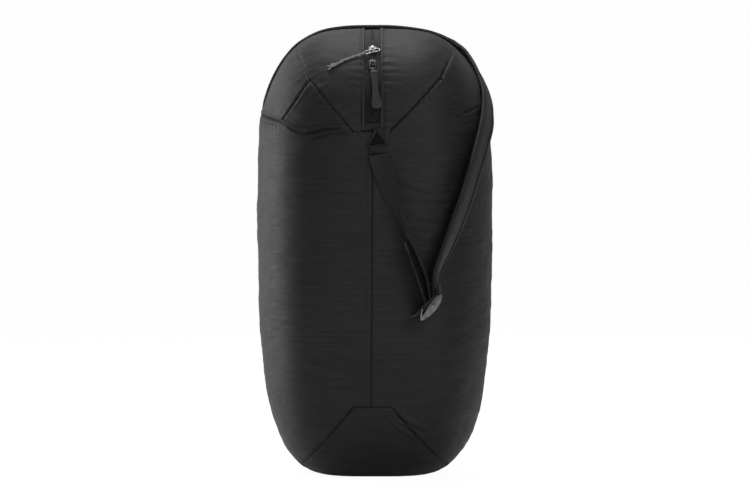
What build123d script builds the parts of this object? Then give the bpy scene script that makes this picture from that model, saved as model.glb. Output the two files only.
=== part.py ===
"""Zip-top travel sack with one adjustable shoulder strap, shown filled and standing on its base.

Millimetres, +Z up, origin on the floor at the middle of the base. -Y is the front of the sack
and +X its right side as seen from the front. The top is a surface turned about an axis parallel
to X at AXIS_Z, so the zip and its sliders run on true arcs about that axis. The fabric panels
are cut from one hollow shell along the seam lines.
"""

from build123d import *

import math
import os

os.makedirs("parts", exist_ok=True)

# ---------------------------------------------------------------- driving dimensions
AXIS_Z = 415.0  # height of the axis that the domed top is turned about
DOME_R = 120.0  # radius of the dome in the middle plane
HALF_W = 138.0  # half width of the sack at AXIS_Z
SKIN = 2.0  # thickness of the fabric skin
KERF = 0.15  # half of the gap left at a seam
ZIP_X = -3.0  # the zip runs front to back at this x
ZIP_HALF = 10.2  # half width of the opening between the two zip lips
TAPE_T = 0.9
COIL_R = 1.1
WEB_W = 25.0  # adjuster webbing
WEB_T = 1.5
STRAP_W = 30.0  # padded strap between its bindings
STRAP_T = 4.0
BIND_W = 3.0
BIND_T = 5.0
UPPER_DEG = 34.5  # rest place of each slider, degrees forward of the top
LOWER_DEG = 46.5

# dome profile: (half width x, radius about the axis)
PROFILE = [
    (138.0, 0.0), (136.6, 14.0), (132.5, 32.0), (126.8, 49.0), (121.0, 62.0),
    (115.0, 73.5), (108.5, 83.5), (102.0, 91.5), (94.0, 99.3), (85.0, 106.0),
    (75.0, 111.3), (63.0, 115.5), (48.0, 118.2), (30.0, 119.5), (0.0, 120.0),
]
# body: (height, half width)
BODY = [
    (0.0, 66.0), (2.5, 75.0), (6.0, 81.5), (10.0, 87.5), (17.0, 95.5),
    (24.0, 101.5), (31.0, 107.0), (42.0, 113.0), (54.0, 118.2), (78.0, 125.8),
    (102.0, 130.3), (126.0, 133.3), (150.0, 135.6), (174.0, 137.3), (222.0, 139.8),
    (270.0, 141.0), (318.0, 141.2), (366.0, 140.2), (390.0, 139.2), (415.0, 138.0),
]


# ---------------------------------------------------------------- helpers
def save(part, name):
    part.label = name
    export_step(part, f"parts/{name}.step")


def interpolate(table, value):
    """Second column of an ascending table at a value inside its first column."""
    for (a0, b0), (a1, b1) in zip(table, table[1:]):
        if a0 <= value <= a1:
            return b0 + (b1 - b0) * (value - a0) / (a1 - a0)


def combine(*terms):
    """Weighted sum of vectors, from (weight, vector) pairs."""
    return tuple(sum(weight * vector[i] for weight, vector in terms) for i in range(3))


def unit(vector):
    length = math.sqrt(sum(c * c for c in vector))
    return tuple(c / length for c in vector)


def cross(a, b):
    return (a[1] * b[2] - a[2] * b[1], a[2] * b[0] - a[0] * b[2], a[0] * b[1] - a[1] * b[0])


def on_arc(deg, radius):
    """(y, z) at deg forward of the top, at a radius from the dome axis."""
    angle = math.radians(deg)
    return -radius * math.sin(angle), AXIS_Z + radius * math.cos(angle)


def local_axes(deg):
    """Directions at deg forward of the top: across (+X), forward along the arc, outward."""
    angle = math.radians(deg)
    sine, cosine = math.sin(angle), math.cos(angle)
    return (1.0, 0.0, 0.0), (0.0, -cosine, -sine), (0.0, -sine, cosine)


def dome_point(x, deg, height):
    """Point at a height outside the dome, at x and deg forward of the top."""
    return (x, *on_arc(deg, interpolate(sorted(PROFILE), abs(x)) + height))


def band_planes(stations, shift=0.0):
    """One plane per station of a band. A station is (centre, rough width direction) and may add
    its run direction. The plane's x runs across the band, its y through the thickness and its z
    along the band. shift moves the section across."""
    planes = []
    for i, (centre, width_dir, *run_dir) in enumerate(stations):
        if run_dir:
            along = unit(run_dir[0])
        else:
            before = stations[max(i - 1, 0)][0]
            after = stations[min(i + 1, len(stations) - 1)][0]
            along = unit(combine((1, after), (-1, before)))
        lean = sum(p * q for p, q in zip(width_dir, along))
        across = unit(combine((1, width_dir), (-lean, along)))
        origin = combine((1, centre), (shift, across))
        planes.append(Plane(origin=origin, x_dir=across, z_dir=along))
    return planes


def save_band(name, stations, width, thick, shift=0.0, trim=None, clear_of=None):
    """Loft a flat band through its stations, trim it and take away the part it must clear."""
    with BuildPart() as band:
        for plane in band_planes(stations, shift):
            with BuildSketch(plane):
                Rectangle(width, thick)
        loft()
        if trim is not None:
            trim()
        if clear_of is not None:
            add(clear_of, mode=Mode.SUBTRACT)
    save(band.part, name)
    return band.part


def save_box(name, centre, size):
    with BuildPart() as block:
        with Locations(centre):
            Box(*size)
    save(block.part, name)


# ---------------------------------------------------------------- hollow shell, front half
def half_plan(x_scale, y_scale):
    """Inside a BuildLine: closed front half of the plan outline, from +x to -x and back."""
    right = [(x * x_scale, -r * y_scale) for x, r in PROFILE]
    left = [(-x, y) for x, y in reversed(right[:-1])]
    Spline(*right, *left, tangents=[(0, -1), (0, 1)])
    Line((-HALF_W * x_scale, 0), (HALF_W * x_scale, 0))


def body_sections(inset):
    """(height, x scale, y scale) of the plan outline, at an inset from the outside."""
    sections = []
    for z, half_width in BODY:
        lift = inset * (1.0 - z / AXIS_Z)
        x_scale = (half_width - inset) / HALF_W
        y_scale = (half_width * DOME_R / HALF_W - inset) / DOME_R
        sections.append((z + lift, x_scale, y_scale))
    return sections


def front_solid(inset):
    """Front half of the filled sack: a quarter turn for the dome, then the lofted body."""
    with BuildPart() as solid:
        with BuildSketch(Plane.XY.offset(AXIS_Z)):
            with BuildLine():
                half_plan((HALF_W - inset) / HALF_W, (DOME_R - inset) / DOME_R)
            make_face()
        revolve(axis=Axis((0, 0, AXIS_Z), (-1, 0, 0)), revolution_arc=90)
        for z, x_scale, y_scale in body_sections(inset):
            with BuildSketch(Plane.XY.offset(z)):
                with BuildLine():
                    half_plan(x_scale, y_scale)
                make_face()
        loft()
    return solid.part


with BuildPart() as shell_front:
    add(front_solid(0.0))
    add(front_solid(SKIN), mode=Mode.SUBTRACT)

# ---------------------------------------------------------------- fabric panels
TOP_Z = 545.0  # cutting outlines reach past the sack, to this height and this half width
SIDE_X = 170.0
CUT_DEPTH = 200.0
TIP_Z = 418.5  # where the front centre seam meets the zip opening
FOOT_Z = 87.0  # where the centre seam meets the base panel
SEAM_DRIFT = 2.0  # the centre seam moves this far to the left on its way down
SEAM_RUN = 331.0
LIP_LEFT, LIP_RIGHT = ZIP_X - ZIP_HALF, ZIP_X + ZIP_HALF
SEAM_TOP, SEAM_FOOT = (ZIP_X, TIP_Z), (ZIP_X - SEAM_DRIFT, FOOT_Z)

# seam corners in the front view (x, z), left and right
TIP_L, TIP_R = (-27.0, TIP_Z), (17.0, TIP_Z)
FORK_L, FORK_R = (-78.0, 478.0), (79.0, 480.0)  # top, gusset and body panels meet
BEND_L, BEND_R = (-95.0, 516.0), (99.0, 516.0)
CREST_L, CREST_R = (-106.0, TOP_Z), (110.0, TOP_Z)
GUSSET_L, GUSSET_R = (-113.0, 427.0), (109.0, 438.0)
FLANK_L, FLANK_R = (-SIDE_X, 437.0), (SIDE_X, 452.0)
BASE_L, BASE_R = (-26.0, FOOT_Z), (19.0, FOOT_Z)
CORNER_L, CORNER_R = (-88.5, 11.0), (86.5, 10.0)
BELOW_L, BELOW_R = (-130.0, -44.3), (131.0, -45.6)

PANELS = {
    "top_left_panel": [TIP_L, FORK_L, BEND_L, CREST_L, (LIP_LEFT, TOP_Z), (LIP_LEFT, TIP_Z)],
    "top_right_panel": [
        (LIP_RIGHT, TIP_Z), (LIP_RIGHT, TOP_Z), CREST_R, BEND_R, FORK_R, TIP_R,
    ],
    "left_shoulder_gusset": [FORK_L, GUSSET_L, FLANK_L, (-SIDE_X, TOP_Z), CREST_L, BEND_L],
    "right_shoulder_gusset": [FORK_R, BEND_R, CREST_R, (SIDE_X, TOP_Z), FLANK_R, GUSSET_R],
    "left_body_panel": [
        SEAM_TOP, TIP_L, FORK_L, GUSSET_L, FLANK_L,
        (-SIDE_X, BELOW_L[1]), BELOW_L, CORNER_L, BASE_L, SEAM_FOOT,
    ],
    "right_body_panel": [
        SEAM_TOP, SEAM_FOOT, BASE_R, CORNER_R, BELOW_R,
        (SIDE_X, BELOW_R[1]), FLANK_R, GUSSET_R, FORK_R, TIP_R,
    ],
    "base_panel": [BASE_L, CORNER_L, BELOW_L, BELOW_R, CORNER_R, BASE_R],
}


def save_panel(name, outline):
    """Cut one panel from the front shell by its front-view outline and mirror it to the back."""
    with BuildPart() as panel:
        add(shell_front.part)
        with BuildSketch(Plane.XZ):
            with BuildLine():
                Polyline(*outline, close=True)
            make_face()
            offset(amount=-KERF, kind=Kind.INTERSECTION)
        extrude(amount=CUT_DEPTH, both=True, mode=Mode.INTERSECT)
        mirror(about=Plane.XZ)
    save(panel.part, name)


for name, outline in PANELS.items():
    save_panel(name, outline)

# ---------------------------------------------------------------- centre seam tapes
SEAM_TAPE_W, SEAM_TAPE_T = 16.0, 0.8
SEAM_TAPE_GAP = 0.5  # between the skin and the tape inside it


def save_seam_tape(name, side):
    """Tape inside the front (side -1) or back (side 1) centre seam."""
    with BuildPart() as tape:
        for z in (100, 140, 190, 250, 310, 370, 410):
            x = ZIP_X - SEAM_DRIFT * (TIP_Z - z) / SEAM_RUN
            y = interpolate(BODY, z) * DOME_R / HALF_W - SKIN - SEAM_TAPE_GAP
            with BuildSketch(Plane.XY.offset(z)):
                with Locations((x, side * (y - SEAM_TAPE_T / 2))):
                    Rectangle(SEAM_TAPE_W, SEAM_TAPE_T)
        loft()
    save(tape.part, name)


save_seam_tape("front_centre_seam_tape", -1)
save_seam_tape("back_centre_seam_tape", 1)

# ---------------------------------------------------------------- zip: tapes, coils, stops, tabs
DOME_AXIS = Axis((0, 0, AXIS_Z), (-1, 0, 0))
TAPE_IN = DOME_R - 3.3  # inner and outer radius of the tapes
TAPE_OUT = TAPE_IN + TAPE_T
TAPE_UNDER_LIP = 3.0
TAPE_GAP = 0.45  # half of the gap between the tapes
COIL_CENTRE = TAPE_IN - COIL_R - 0.1
COIL_BASE = COIL_CENTRE - COIL_R
COIL_OFFSET = COIL_R + 0.5  # from the middle of the zip
COIL_DEG = 82.0  # the coils end this far from the top
STOP_DEGS = (81.6, 82.6)
TAB_DEGS = (83.5, 87.8)


def arc_plane(deg):
    """Plane through the dome axis at deg forward of the top: x is X, y is the radius."""
    across, forward, _ = local_axes(deg)
    return Plane(origin=(0, 0, AXIS_Z), x_dir=across, z_dir=forward)


def arc_block(x_span, r_span, deg_span):
    """Inside a BuildPart: a block turned about the dome axis, between two degrees forward."""
    with BuildSketch(arc_plane(deg_span[1])) as section:
        with Locations((sum(x_span) / 2, sum(r_span) / 2)):
            Rectangle(x_span[1] - x_span[0], r_span[1] - r_span[0])
    revolve(section.sketch, axis=DOME_AXIS, revolution_arc=deg_span[1] - deg_span[0])


def centred(half_width):
    """x span centred on the zip."""
    return ZIP_X - half_width, ZIP_X + half_width


def beside(side, near, far):
    """x span on one side of the zip's middle line, -1 left or 1 right."""
    return sorted((ZIP_X + side * near, ZIP_X + side * far))


def mirrored(deg_span):
    """The same span of degrees behind the top."""
    return -deg_span[1], -deg_span[0]


def save_tape(name, side):
    with BuildPart() as tape:
        x_span = beside(side, TAPE_GAP, ZIP_HALF + TAPE_UNDER_LIP)
        arc_block(x_span, (TAPE_IN, TAPE_OUT), (-90, 90))
    save(tape.part, name)


def save_coil(name, side):
    with BuildPart() as coil:
        with BuildSketch(arc_plane(COIL_DEG)):
            with Locations((ZIP_X + side * COIL_OFFSET, COIL_CENTRE)):
                Circle(COIL_R)
        revolve(axis=DOME_AXIS, revolution_arc=2 * COIL_DEG)
    save(coil.part, name)


for word, side in (("left", -1), ("right", 1)):
    save_tape(f"zip_tape_{word}", side)
    save_coil(f"zip_coil_{word}", side)

with BuildPart() as zip_end_stops:
    for deg_span in (STOP_DEGS, mirrored(STOP_DEGS)):
        arc_block(centred(2.4), (TAPE_OUT + 0.1, TAPE_OUT + 1.6), deg_span)
save(zip_end_stops.part, "zip_end_stops")

for name, deg_span in (
    ("front_zip_end_tab", TAB_DEGS),
    ("back_zip_end_tab", mirrored(TAB_DEGS)),
):
    with BuildPart() as end_tab:
        arc_block(centred(ZIP_HALF - 0.3), (TAPE_OUT + 0.2, TAPE_OUT + 2.1), deg_span)
    save(end_tab.part, name)

# ---------------------------------------------------------------- zip sliders
SLIDER_HALF_DEG = 3.3
SLIDER_HALF_W = 5.0
POST_HALF_DEG = 1.2
CROWN_BASE = TAPE_OUT + 1.85  # underside radius of the crown that holds the pull
CROWN_RISE = 4.0
CROWN_HALF_DEG = 2.6
SLOT_RISE = 2.7  # the slot through the crown
SLOT_HALF_DEG = 1.75
BAR_R = CROWN_BASE + SLOT_RISE / 2  # radius of the pull bar inside the crown
BAR_LEAD_DEG = 0.95  # the pull bar sits this far forward of the slider


def save_slider_body(name, deg):
    """Inner and outer plates, the post between them and a cheek at each side."""
    length = (deg - SLIDER_HALF_DEG, deg + SLIDER_HALF_DEG)
    post = (deg - POST_HALF_DEG, deg + POST_HALF_DEG)
    with BuildPart() as body:
        arc_block(centred(SLIDER_HALF_W), (COIL_BASE - 1.8, COIL_BASE - 0.3), length)
        arc_block(centred(SLIDER_HALF_W), (TAPE_OUT + 0.3, TAPE_OUT + 1.8), length)
        arc_block(centred(0.35), (COIL_BASE - 1.0, TAPE_OUT + 1.0), post)
        for side in (-1, 1):
            arc_block(beside(side, 3.7, 4.9), (COIL_BASE - 1.0, TAPE_IN - 0.35), length)
    save(body.part, name)


def save_slider_crown(name, deg):
    """Arch on the slider, with a slot through it from side to side."""
    with BuildPart() as crown:
        arc_block(
            centred(1.6),
            (CROWN_BASE, CROWN_BASE + CROWN_RISE),
            (deg - CROWN_HALF_DEG, deg + CROWN_HALF_DEG),
        )
        with BuildSketch(arc_plane(deg + SLOT_HALF_DEG)):
            with Locations((ZIP_X, BAR_R)):
                Rectangle(4.0, SLOT_RISE)
        revolve(axis=DOME_AXIS, revolution_arc=2 * SLOT_HALF_DEG, mode=Mode.SUBTRACT)
    save(crown.part, name)


for prefix, deg in (("upper", UPPER_DEG), ("lower", LOWER_DEG)):
    save_slider_body(f"{prefix}_slider_body", deg)
    save_slider_crown(f"{prefix}_slider_crown", deg)

# ---------------------------------------------------------------- upper pull
LINK_T = 1.2  # thickness of both pull links, and the width of their rims


def link_face(width, length, outer_r, hole_r, clearance=0.0):
    """Inside a BuildSketch: a rounded loop, its rim widened each way by the clearance."""
    grow = 2 * clearance
    rim = 2 * LINK_T + grow
    RectangleRounded(width + grow, length + grow, outer_r)
    RectangleRounded(width - rim, length - rim, hole_r, mode=Mode.SUBTRACT)


# the link lies across the zip, skewed in the dome surface and tilted out of it
UPPER_BAR_DEG = UPPER_DEG + BAR_LEAD_DEG
UPPER_BAR = (ZIP_X, *on_arc(UPPER_BAR_DEG, BAR_R))
UPPER_SKEW = math.radians(18)
UPPER_TILT = 0.12  # radians
UPPER_LINK_W, UPPER_LINK_L = 21.4, 6.3
UPPER_DROP = (UPPER_LINK_L - LINK_T) / 2  # from the bar to the middle of the link
ACROSS, FORWARD, OUTWARD = local_axes(UPPER_BAR_DEG)
SKEWED = combine((math.cos(UPPER_SKEW), ACROSS), (-math.sin(UPPER_SKEW), FORWARD))
LINK_DOWN = combine((math.sin(UPPER_SKEW), ACROSS), (math.cos(UPPER_SKEW), FORWARD))
LINK_ACROSS = combine((math.cos(UPPER_TILT), SKEWED), (-math.sin(UPPER_TILT), OUTWARD))
LINK_OUT = combine((math.sin(UPPER_TILT), SKEWED), (math.cos(UPPER_TILT), OUTWARD))

with BuildPart() as upper_pull_link:
    with BuildSketch(Plane(origin=UPPER_BAR, x_dir=LINK_ACROSS, z_dir=LINK_OUT)):
        with Locations((-2.15, -UPPER_DROP)):
            link_face(UPPER_LINK_W, UPPER_LINK_L, 2.9, 1.7)
    extrude(amount=LINK_T / 2, both=True)
save(upper_pull_link.part, "upper_pull_link")

# ring of cord round the left end of the link
RING_CENTRE = combine((1, UPPER_BAR), (-12.4, LINK_ACROSS), (UPPER_DROP, LINK_DOWN))
with BuildPart() as cord_loop:
    with BuildSketch(Plane(origin=RING_CENTRE, x_dir=LINK_ACROSS, z_dir=LINK_DOWN)):
        Circle(2.05)
        Circle(1.15, mode=Mode.SUBTRACT)
    extrude(amount=0.9, both=True)
save(cord_loop.part, "cord_loop")

# (x, degrees forward, height above the dome)
CORD = [(-17.0, 38.7, 2.3), (-26.0, 41.2, 1.7), (-38.0, 44.4, 1.5), (-47.0, 46.8, 1.5)]
save_band("cord_pull", [(dome_point(*place), FORWARD) for place in CORD], 3.4, 1.4)

KNOT = [(-47.4, 46.9, 1.5), (-49.2, 47.4, 1.9), (-51.2, 47.95, 1.9), (-53.0, 48.4, 1.6)]
KNOT_RADII = [(1.8, 0.8), (2.9, 1.35), (2.9, 1.35), (1.8, 0.8)]  # across, through
knot_planes = band_planes([(dome_point(*place), FORWARD) for place in KNOT])
with BuildPart() as cord_knot:
    for plane, radii in zip(knot_planes, KNOT_RADII):
        with BuildSketch(plane):
            Ellipse(*radii)
    loft()
save(cord_knot.part, "cord_knot")

# ---------------------------------------------------------------- lower pull
LOWER_BAR_DEG = LOWER_DEG + BAR_LEAD_DEG
LOWER_TILT = 0.11  # radians
LOWER_LINK_W, LOWER_LINK_L = 7.6, 9.7
LOWER_DROP = (LOWER_LINK_L - LINK_T) / 2
ACROSS, FORWARD, OUTWARD = local_axes(LOWER_BAR_DEG)
LOWER_LINK_PLANE = Plane(
    origin=(ZIP_X, *on_arc(LOWER_BAR_DEG, BAR_R)),
    x_dir=ACROSS,
    z_dir=combine((math.cos(LOWER_TILT), OUTWARD), (-math.sin(LOWER_TILT), FORWARD)),
)

with BuildPart() as lower_pull_link:
    with BuildSketch(LOWER_LINK_PLANE):
        with Locations((0, -LOWER_DROP)):
            link_face(LOWER_LINK_W, LOWER_LINK_L, 1.6, 0.7)
    extrude(amount=LINK_T / 2, both=True)
save(lower_pull_link.part, "lower_pull_link")

# grip draped down the front
GRIP_T = 3.4
GRIP_START, GRIP_END = 6.4, 60.0  # run along the zip from the pull bar
GRIP_HALF = (GRIP_END - GRIP_START) / 2
GRIP_RUN_R = 122.0  # radius that turns a run into an angle
GRIP_R = 122.2
GRIP_RISE = 6.0  # the grip lifts away from the dome towards its free end
GRIP_LEAN = math.radians(4.5)
LINK_CLEARANCE = 0.25


def run_deg(run):
    return LOWER_BAR_DEG + math.degrees(run / GRIP_RUN_R)


def grip_point(run, out):
    """(y, z) of the grip at a run from the pull bar, out from its middle surface."""
    rise = GRIP_RISE * (max(0.0, run - 8.5) / 52.0) ** 2
    return on_arc(run_deg(run), GRIP_R + rise + out)


# side view of the grip
runs = [GRIP_START + (GRIP_END - GRIP_START) * i / 8 for i in range(9)]
grip_outside = [grip_point(run, GRIP_T / 2) for run in runs]
grip_inside = [grip_point(run, -GRIP_T / 2) for run in reversed(runs)]
# face view of the grip, y towards the pull bar
grip_right = [
    (4.4, GRIP_HALF - 1), (3.5, GRIP_HALF - 12), (3.5, 2),
    (4.4, -GRIP_HALF + 14), (6.2, -GRIP_HALF + 3),
]
grip_left = [(-x, y) for x, y in reversed(grip_right)]
GRIP_MID_DEG = run_deg(0.5 * (GRIP_START + GRIP_END))
grip_across, grip_forward, grip_outward = local_axes(GRIP_MID_DEG)
GRIP_FACE_PLANE = Plane(
    origin=(0.0, *on_arc(GRIP_MID_DEG, 124.0)),
    x_dir=combine((math.cos(GRIP_LEAN), grip_across), (-math.sin(GRIP_LEAN), grip_forward)),
    z_dir=grip_outward,
)

with BuildPart() as lower_pull_grip:
    with BuildSketch(Plane.YZ):
        with BuildLine():
            Spline(*grip_outside)
            Line(grip_outside[-1], grip_inside[0])
            Spline(*grip_inside)
            Line(grip_inside[-1], grip_outside[0])
        make_face()
    extrude(amount=20, both=True)
    with BuildSketch(GRIP_FACE_PLANE):
        with BuildLine():
            Spline(*grip_right)
            Spline(grip_right[-1], (0, -GRIP_HALF + 0.2), grip_left[0])
            Spline(*grip_left)
            Spline(grip_left[-1], (0, GRIP_HALF + 1.2), grip_right[0])
        make_face()
    extrude(amount=30, both=True, mode=Mode.INTERSECT)
    # room for the link
    with BuildSketch(LOWER_LINK_PLANE):
        with Locations((0, -LOWER_DROP)):
            link_face(LOWER_LINK_W, LOWER_LINK_L, 1.8, 0.5, LINK_CLEARANCE)
    extrude(amount=LINK_T / 2 + LINK_CLEARANCE, both=True, mode=Mode.SUBTRACT)
save(lower_pull_grip.part, "lower_pull_grip")

# ---------------------------------------------------------------- ladder lock axes
LOCK_CENTRE = (63.6, -136.0, 211.0)
TO_LOOP = (0.735, 0.0, 0.678)  # from the tab towards the loop bar
LOCK_ACROSS = unit((-0.1177, -0.9848, 0.1276))
LOCK_NORMAL = unit(cross(LOCK_ACROSS, TO_LOOP))
LOCK_SIDE = Plane(origin=LOCK_CENTRE, x_dir=TO_LOOP, z_dir=LOCK_ACROSS)
LOOP_BAR, LOOP_BAR_R = 15.6, 2.2  # place along TO_LOOP, and radius
TURN_BAR, TURN_BAR_R = 2.0, 1.8
LOOP_BEND_R, TURN_BEND_R = 3.35, 2.85  # middle of the webbing round each bar
LOOP_ANG, MAIN_ANG, TAIL_ANG = 53.8, 58.0, 66.5  # legs, degrees from TO_LOOP
LOOP_LEG = 15.5


def bend(bar, radius, first_ang, second_ang, first_leg, second_leg):
    """Five points on the middle line of webbing round a bar, in the lock's side plane:
    first leg end, start, middle and end of the arc, second leg end."""
    a0, a1 = math.radians(first_ang), math.radians(second_ang)
    middle = 0.5 * (a0 + a1) + math.pi
    start = (bar + radius * math.sin(a0), -radius * math.cos(a0))
    end = (bar - radius * math.sin(a1), radius * math.cos(a1))
    return (
        (start[0] + first_leg * math.cos(a0), start[1] + first_leg * math.sin(a0)),
        start,
        (bar + radius * math.cos(middle), radius * math.sin(middle)),
        end,
        (end[0] + second_leg * math.cos(a1), end[1] + second_leg * math.sin(a1)),
    )


def to_world(point):
    """World place of a point in the lock's side plane."""
    return combine((1, LOCK_CENTRE), (point[0], TO_LOOP), (point[1], LOCK_NORMAL))


def leg_dir(deg, sign=1):
    """World direction of a webbing leg away from the lock, or towards it with sign -1."""
    angle = math.radians(deg)
    return combine((sign * math.cos(angle), TO_LOOP), (sign * math.sin(angle), LOCK_NORMAL))


# ---------------------------------------------------------------- shoulder strap
# stations: (middle of the strap, direction of its front edge[, run direction])
BACK_RUN = [
    ((-11.6, 124.2, 395.1), (0.0, 0.0, -1.0), (-1.0, 0.0, 0.0)),
    ((-30.4, 123.9, 396.2), (-0.064, 0.039, -0.997)),
    ((-61.0, 120.3, 398.2), (-0.094, 0.027, -0.995)),
    ((-87.3, 109.6, 401.2), (-0.151, -0.040, -0.988)),
    ((-106.2, 92.9, 406.2), (-0.192, -0.164, -0.968)),
    ((-120.4, 71.4, 414.2), (-0.295, -0.481, -0.826)),
    ((-126.7, 55.6, 435.2), (-0.407, -0.839, -0.361)),
    ((-122.7, 55.5, 453.9), (-0.344, -0.924, 0.169)),
    ((-112.5, 58.0, 477.2), (-0.301, -0.926, 0.230)),
    ((-99.9, 58.4, 495.4), (-0.250, -0.907, 0.330)),
    ((-86.2, 60.2, 507.8), (-0.189, -0.874, 0.448)),
]
CROWN_RUN = [
    ((-99.9, 58.4, 495.4), (-0.224, -0.897, 0.382)),
    ((-86.2, 60.2, 507.8), (-0.189, -0.874, 0.448)),
    ((-63.1, 62.7, 519.4), (-0.113, -0.862, 0.494)),
    ((-35.5, 63.2, 524.5), (-0.035, -0.867, 0.497)),
    ((-3.1, 63.7, 525.4), (0.000, -0.866, 0.500)),
    ((25.1, 63.4, 524.9), (0.000, -0.866, 0.500)),
    ((56.0, 61.3, 521.2), (-0.037, -0.862, 0.505)),
    ((76.8, 56.0, 516.0), (-0.160, -0.827, 0.539)),
    ((94.5, 45.7, 508.6), (-0.295, -0.740, 0.605)),
    ((102.8, 36.1, 504.3), (-0.389, -0.636, 0.666)),
]
SHOULDER_RUN = [
    ((76.8, 56.0, 516.0), (-0.160, -0.827, 0.539)),
    ((94.5, 45.7, 508.6), (-0.320, -0.710, 0.620)),
    ((102.8, 36.1, 504.3), (-0.396, -0.627, 0.670)),
    ((113.3, 20.2, 495.8), (-0.311, -0.681, 0.663)),
    ((123.0, 4.7, 481.5), (-0.270, -0.774, 0.572)),
    ((130.2, -8.0, 465.7), (-0.287, -0.802, 0.524)),
    ((134.0, -17.8, 453.2), (-0.300, -0.720, 0.620)),
    ((134.9, -30.5, 441.5), (-0.310, -0.690, 0.650)),
    ((134.4, -45.0, 428.6), (-0.340, -0.720, 0.600)),
    ((130.8, -62.0, 411.6), (-0.320, -0.740, 0.580)),
]
LOOP_TOP = combine((1, to_world((LOOP_BAR, 0.0))), (LOOP_LEG + 0.4, leg_dir(LOOP_ANG)))
# starts on the last five shoulder stations and ends at the lock's webbing loop
FRONT_RUN = SHOULDER_RUN[5:] + [
    ((121.2, -88.0, 377.1), (-0.300, -0.780, 0.500)),
    ((110.4, -105.0, 342.0), (-0.300, -0.820, 0.450)),
    ((99.6, -118.0, 312.7), (-0.300, -0.850, 0.400)),
    ((87.6, -130.0, 283.3), (-0.240, -0.920, 0.300)),
    ((78.0, -135.4, 262.0), (-0.160, -0.970, 0.200)),
    ((73.6, -136.2, 249.0), (-0.118, -0.985, 0.128)),
    (LOOP_TOP, LOCK_ACROSS, leg_dir(LOOP_ANG, -1)),
]

JOIN_X = 90.0  # the crown piece meets its neighbours at this x on each side
JOIN_GAP = 0.2  # each piece stops this far short of a join
PAST_MIDDLE = 20.0  # the cutting box reaches this far past x = 0
# the shoulder and front pieces meet in the plane that holds this line and the strap's width
SHOULDER, SHOULDER_ACROSS = SHOULDER_RUN[7]
SWING_START = (4.0, -127.0, 397.0)  # at the front anchor
SWING_END = combine((1, SHOULDER), (19.5, unit(SHOULDER_ACROSS)))
SWING_DIR = unit(combine((1, SWING_END), (-1, SWING_START)))
JOIN_NORMAL = unit(cross(SWING_DIR, SHOULDER_ACROSS))


def cut_at_crown(side):
    """Remove what lies within the crown piece, on the left (-1) or right (1) side."""
    width = JOIN_X + JOIN_GAP + PAST_MIDDLE
    with Locations((side * (width / 2 - PAST_MIDDLE), 50, 510)):
        Box(width, 200, 120, mode=Mode.SUBTRACT)


def cut_at_shoulder(side):
    """Keep the front (1) or the crown (-1) side of the join at the shoulder."""
    origin = combine((1, SHOULDER), (side * JOIN_GAP, JOIN_NORMAL))
    normal = tuple(side * c for c in JOIN_NORMAL)
    split(bisect_by=Plane(origin=origin, z_dir=normal), keep=Keep.TOP)


def trim_back():
    cut_at_crown(-1)


def trim_crown():
    with Locations((0, 50, 500)):
        Box(2 * (JOIN_X - JOIN_GAP), 200, 120, mode=Mode.INTERSECT)


def trim_shoulder():
    cut_at_crown(1)
    cut_at_shoulder(-1)


def trim_front():
    cut_at_shoulder(1)


BIND_SHIFT = (STRAP_W + BIND_W) / 2 + 0.05
for tag, run, bound, trim in (
    ("back_run", BACK_RUN, BACK_RUN, trim_back),
    ("crown", CROWN_RUN, CROWN_RUN, trim_crown),
    ("shoulder", SHOULDER_RUN, SHOULDER_RUN, trim_shoulder),
    # the front bindings stop where the webbing loop enters the pad
    ("front", FRONT_RUN, FRONT_RUN[:-1], trim_front),
):
    pad = save_band(f"strap_{tag}_pad", run, STRAP_W, STRAP_T, trim=trim)
    for edge, shift in (("outer", BIND_SHIFT), ("inner", -BIND_SHIFT)):
        save_band(f"strap_{tag}_binding_{edge}", bound, BIND_W, BIND_T, shift, trim, pad)

# ---------------------------------------------------------------- ladder lock
FRAME_OUTLINE = [  # (across, towards the loop bar)
    (-17, LOOP_BAR), (17, LOOP_BAR), (17, -17), (13, -24), (-13, -24), (-17, -17),
]
FRAME_SLOTS = [(10.7, LOOP_BAR + 3), (-4.6, 8.6)]  # (low, high) towards the loop bar
SLOT_W = 26.6

with BuildPart() as ladder_lock_frame:
    with BuildSketch(Plane(origin=LOCK_CENTRE, x_dir=LOCK_ACROSS, z_dir=LOCK_NORMAL)):
        with BuildLine():
            Polyline(*FRAME_OUTLINE, close=True)
        make_face()
        for low, high in FRAME_SLOTS:
            with Locations((0, (low + high) / 2)):
                Rectangle(SLOT_W, high - low, mode=Mode.SUBTRACT)
    extrude(amount=2.2, both=True)
    for bar, radius, half_length in ((LOOP_BAR, LOOP_BAR_R, 17), (TURN_BAR, TURN_BAR_R, 15)):
        with BuildSketch(LOCK_SIDE):
            with Locations((bar, 0)):
                Circle(radius)
        extrude(amount=half_length, both=True)
    # raised lip at the end of the tab, and three ribs
    with BuildSketch(LOCK_SIDE):
        with BuildLine():
            Polyline((-18, 2.0), (-24, 2.0), (-24, 5.2), (-22.2, 5.2), close=True)
        make_face()
        for rib in (-8, -11, -14):
            with Locations((rib, 2.4)):
                Rectangle(1.4, 1.2)
    extrude(amount=12.5, both=True)
save(ladder_lock_frame.part, "ladder_lock_frame")


def save_bend(name, points):
    """Webbing round a bar of the lock, between its two straight legs."""
    leg_start, arc_start, arc_middle, arc_end, leg_end = points
    with BuildPart() as webbing:
        with BuildSketch(LOCK_SIDE):
            with BuildLine():
                Line(leg_start, arc_start)
                ThreePointArc(arc_start, arc_middle, arc_end)
                Line(arc_end, leg_end)
            trace(line_width=WEB_T)
        extrude(amount=WEB_W / 2, both=True)
    save(webbing.part, name)


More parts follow.
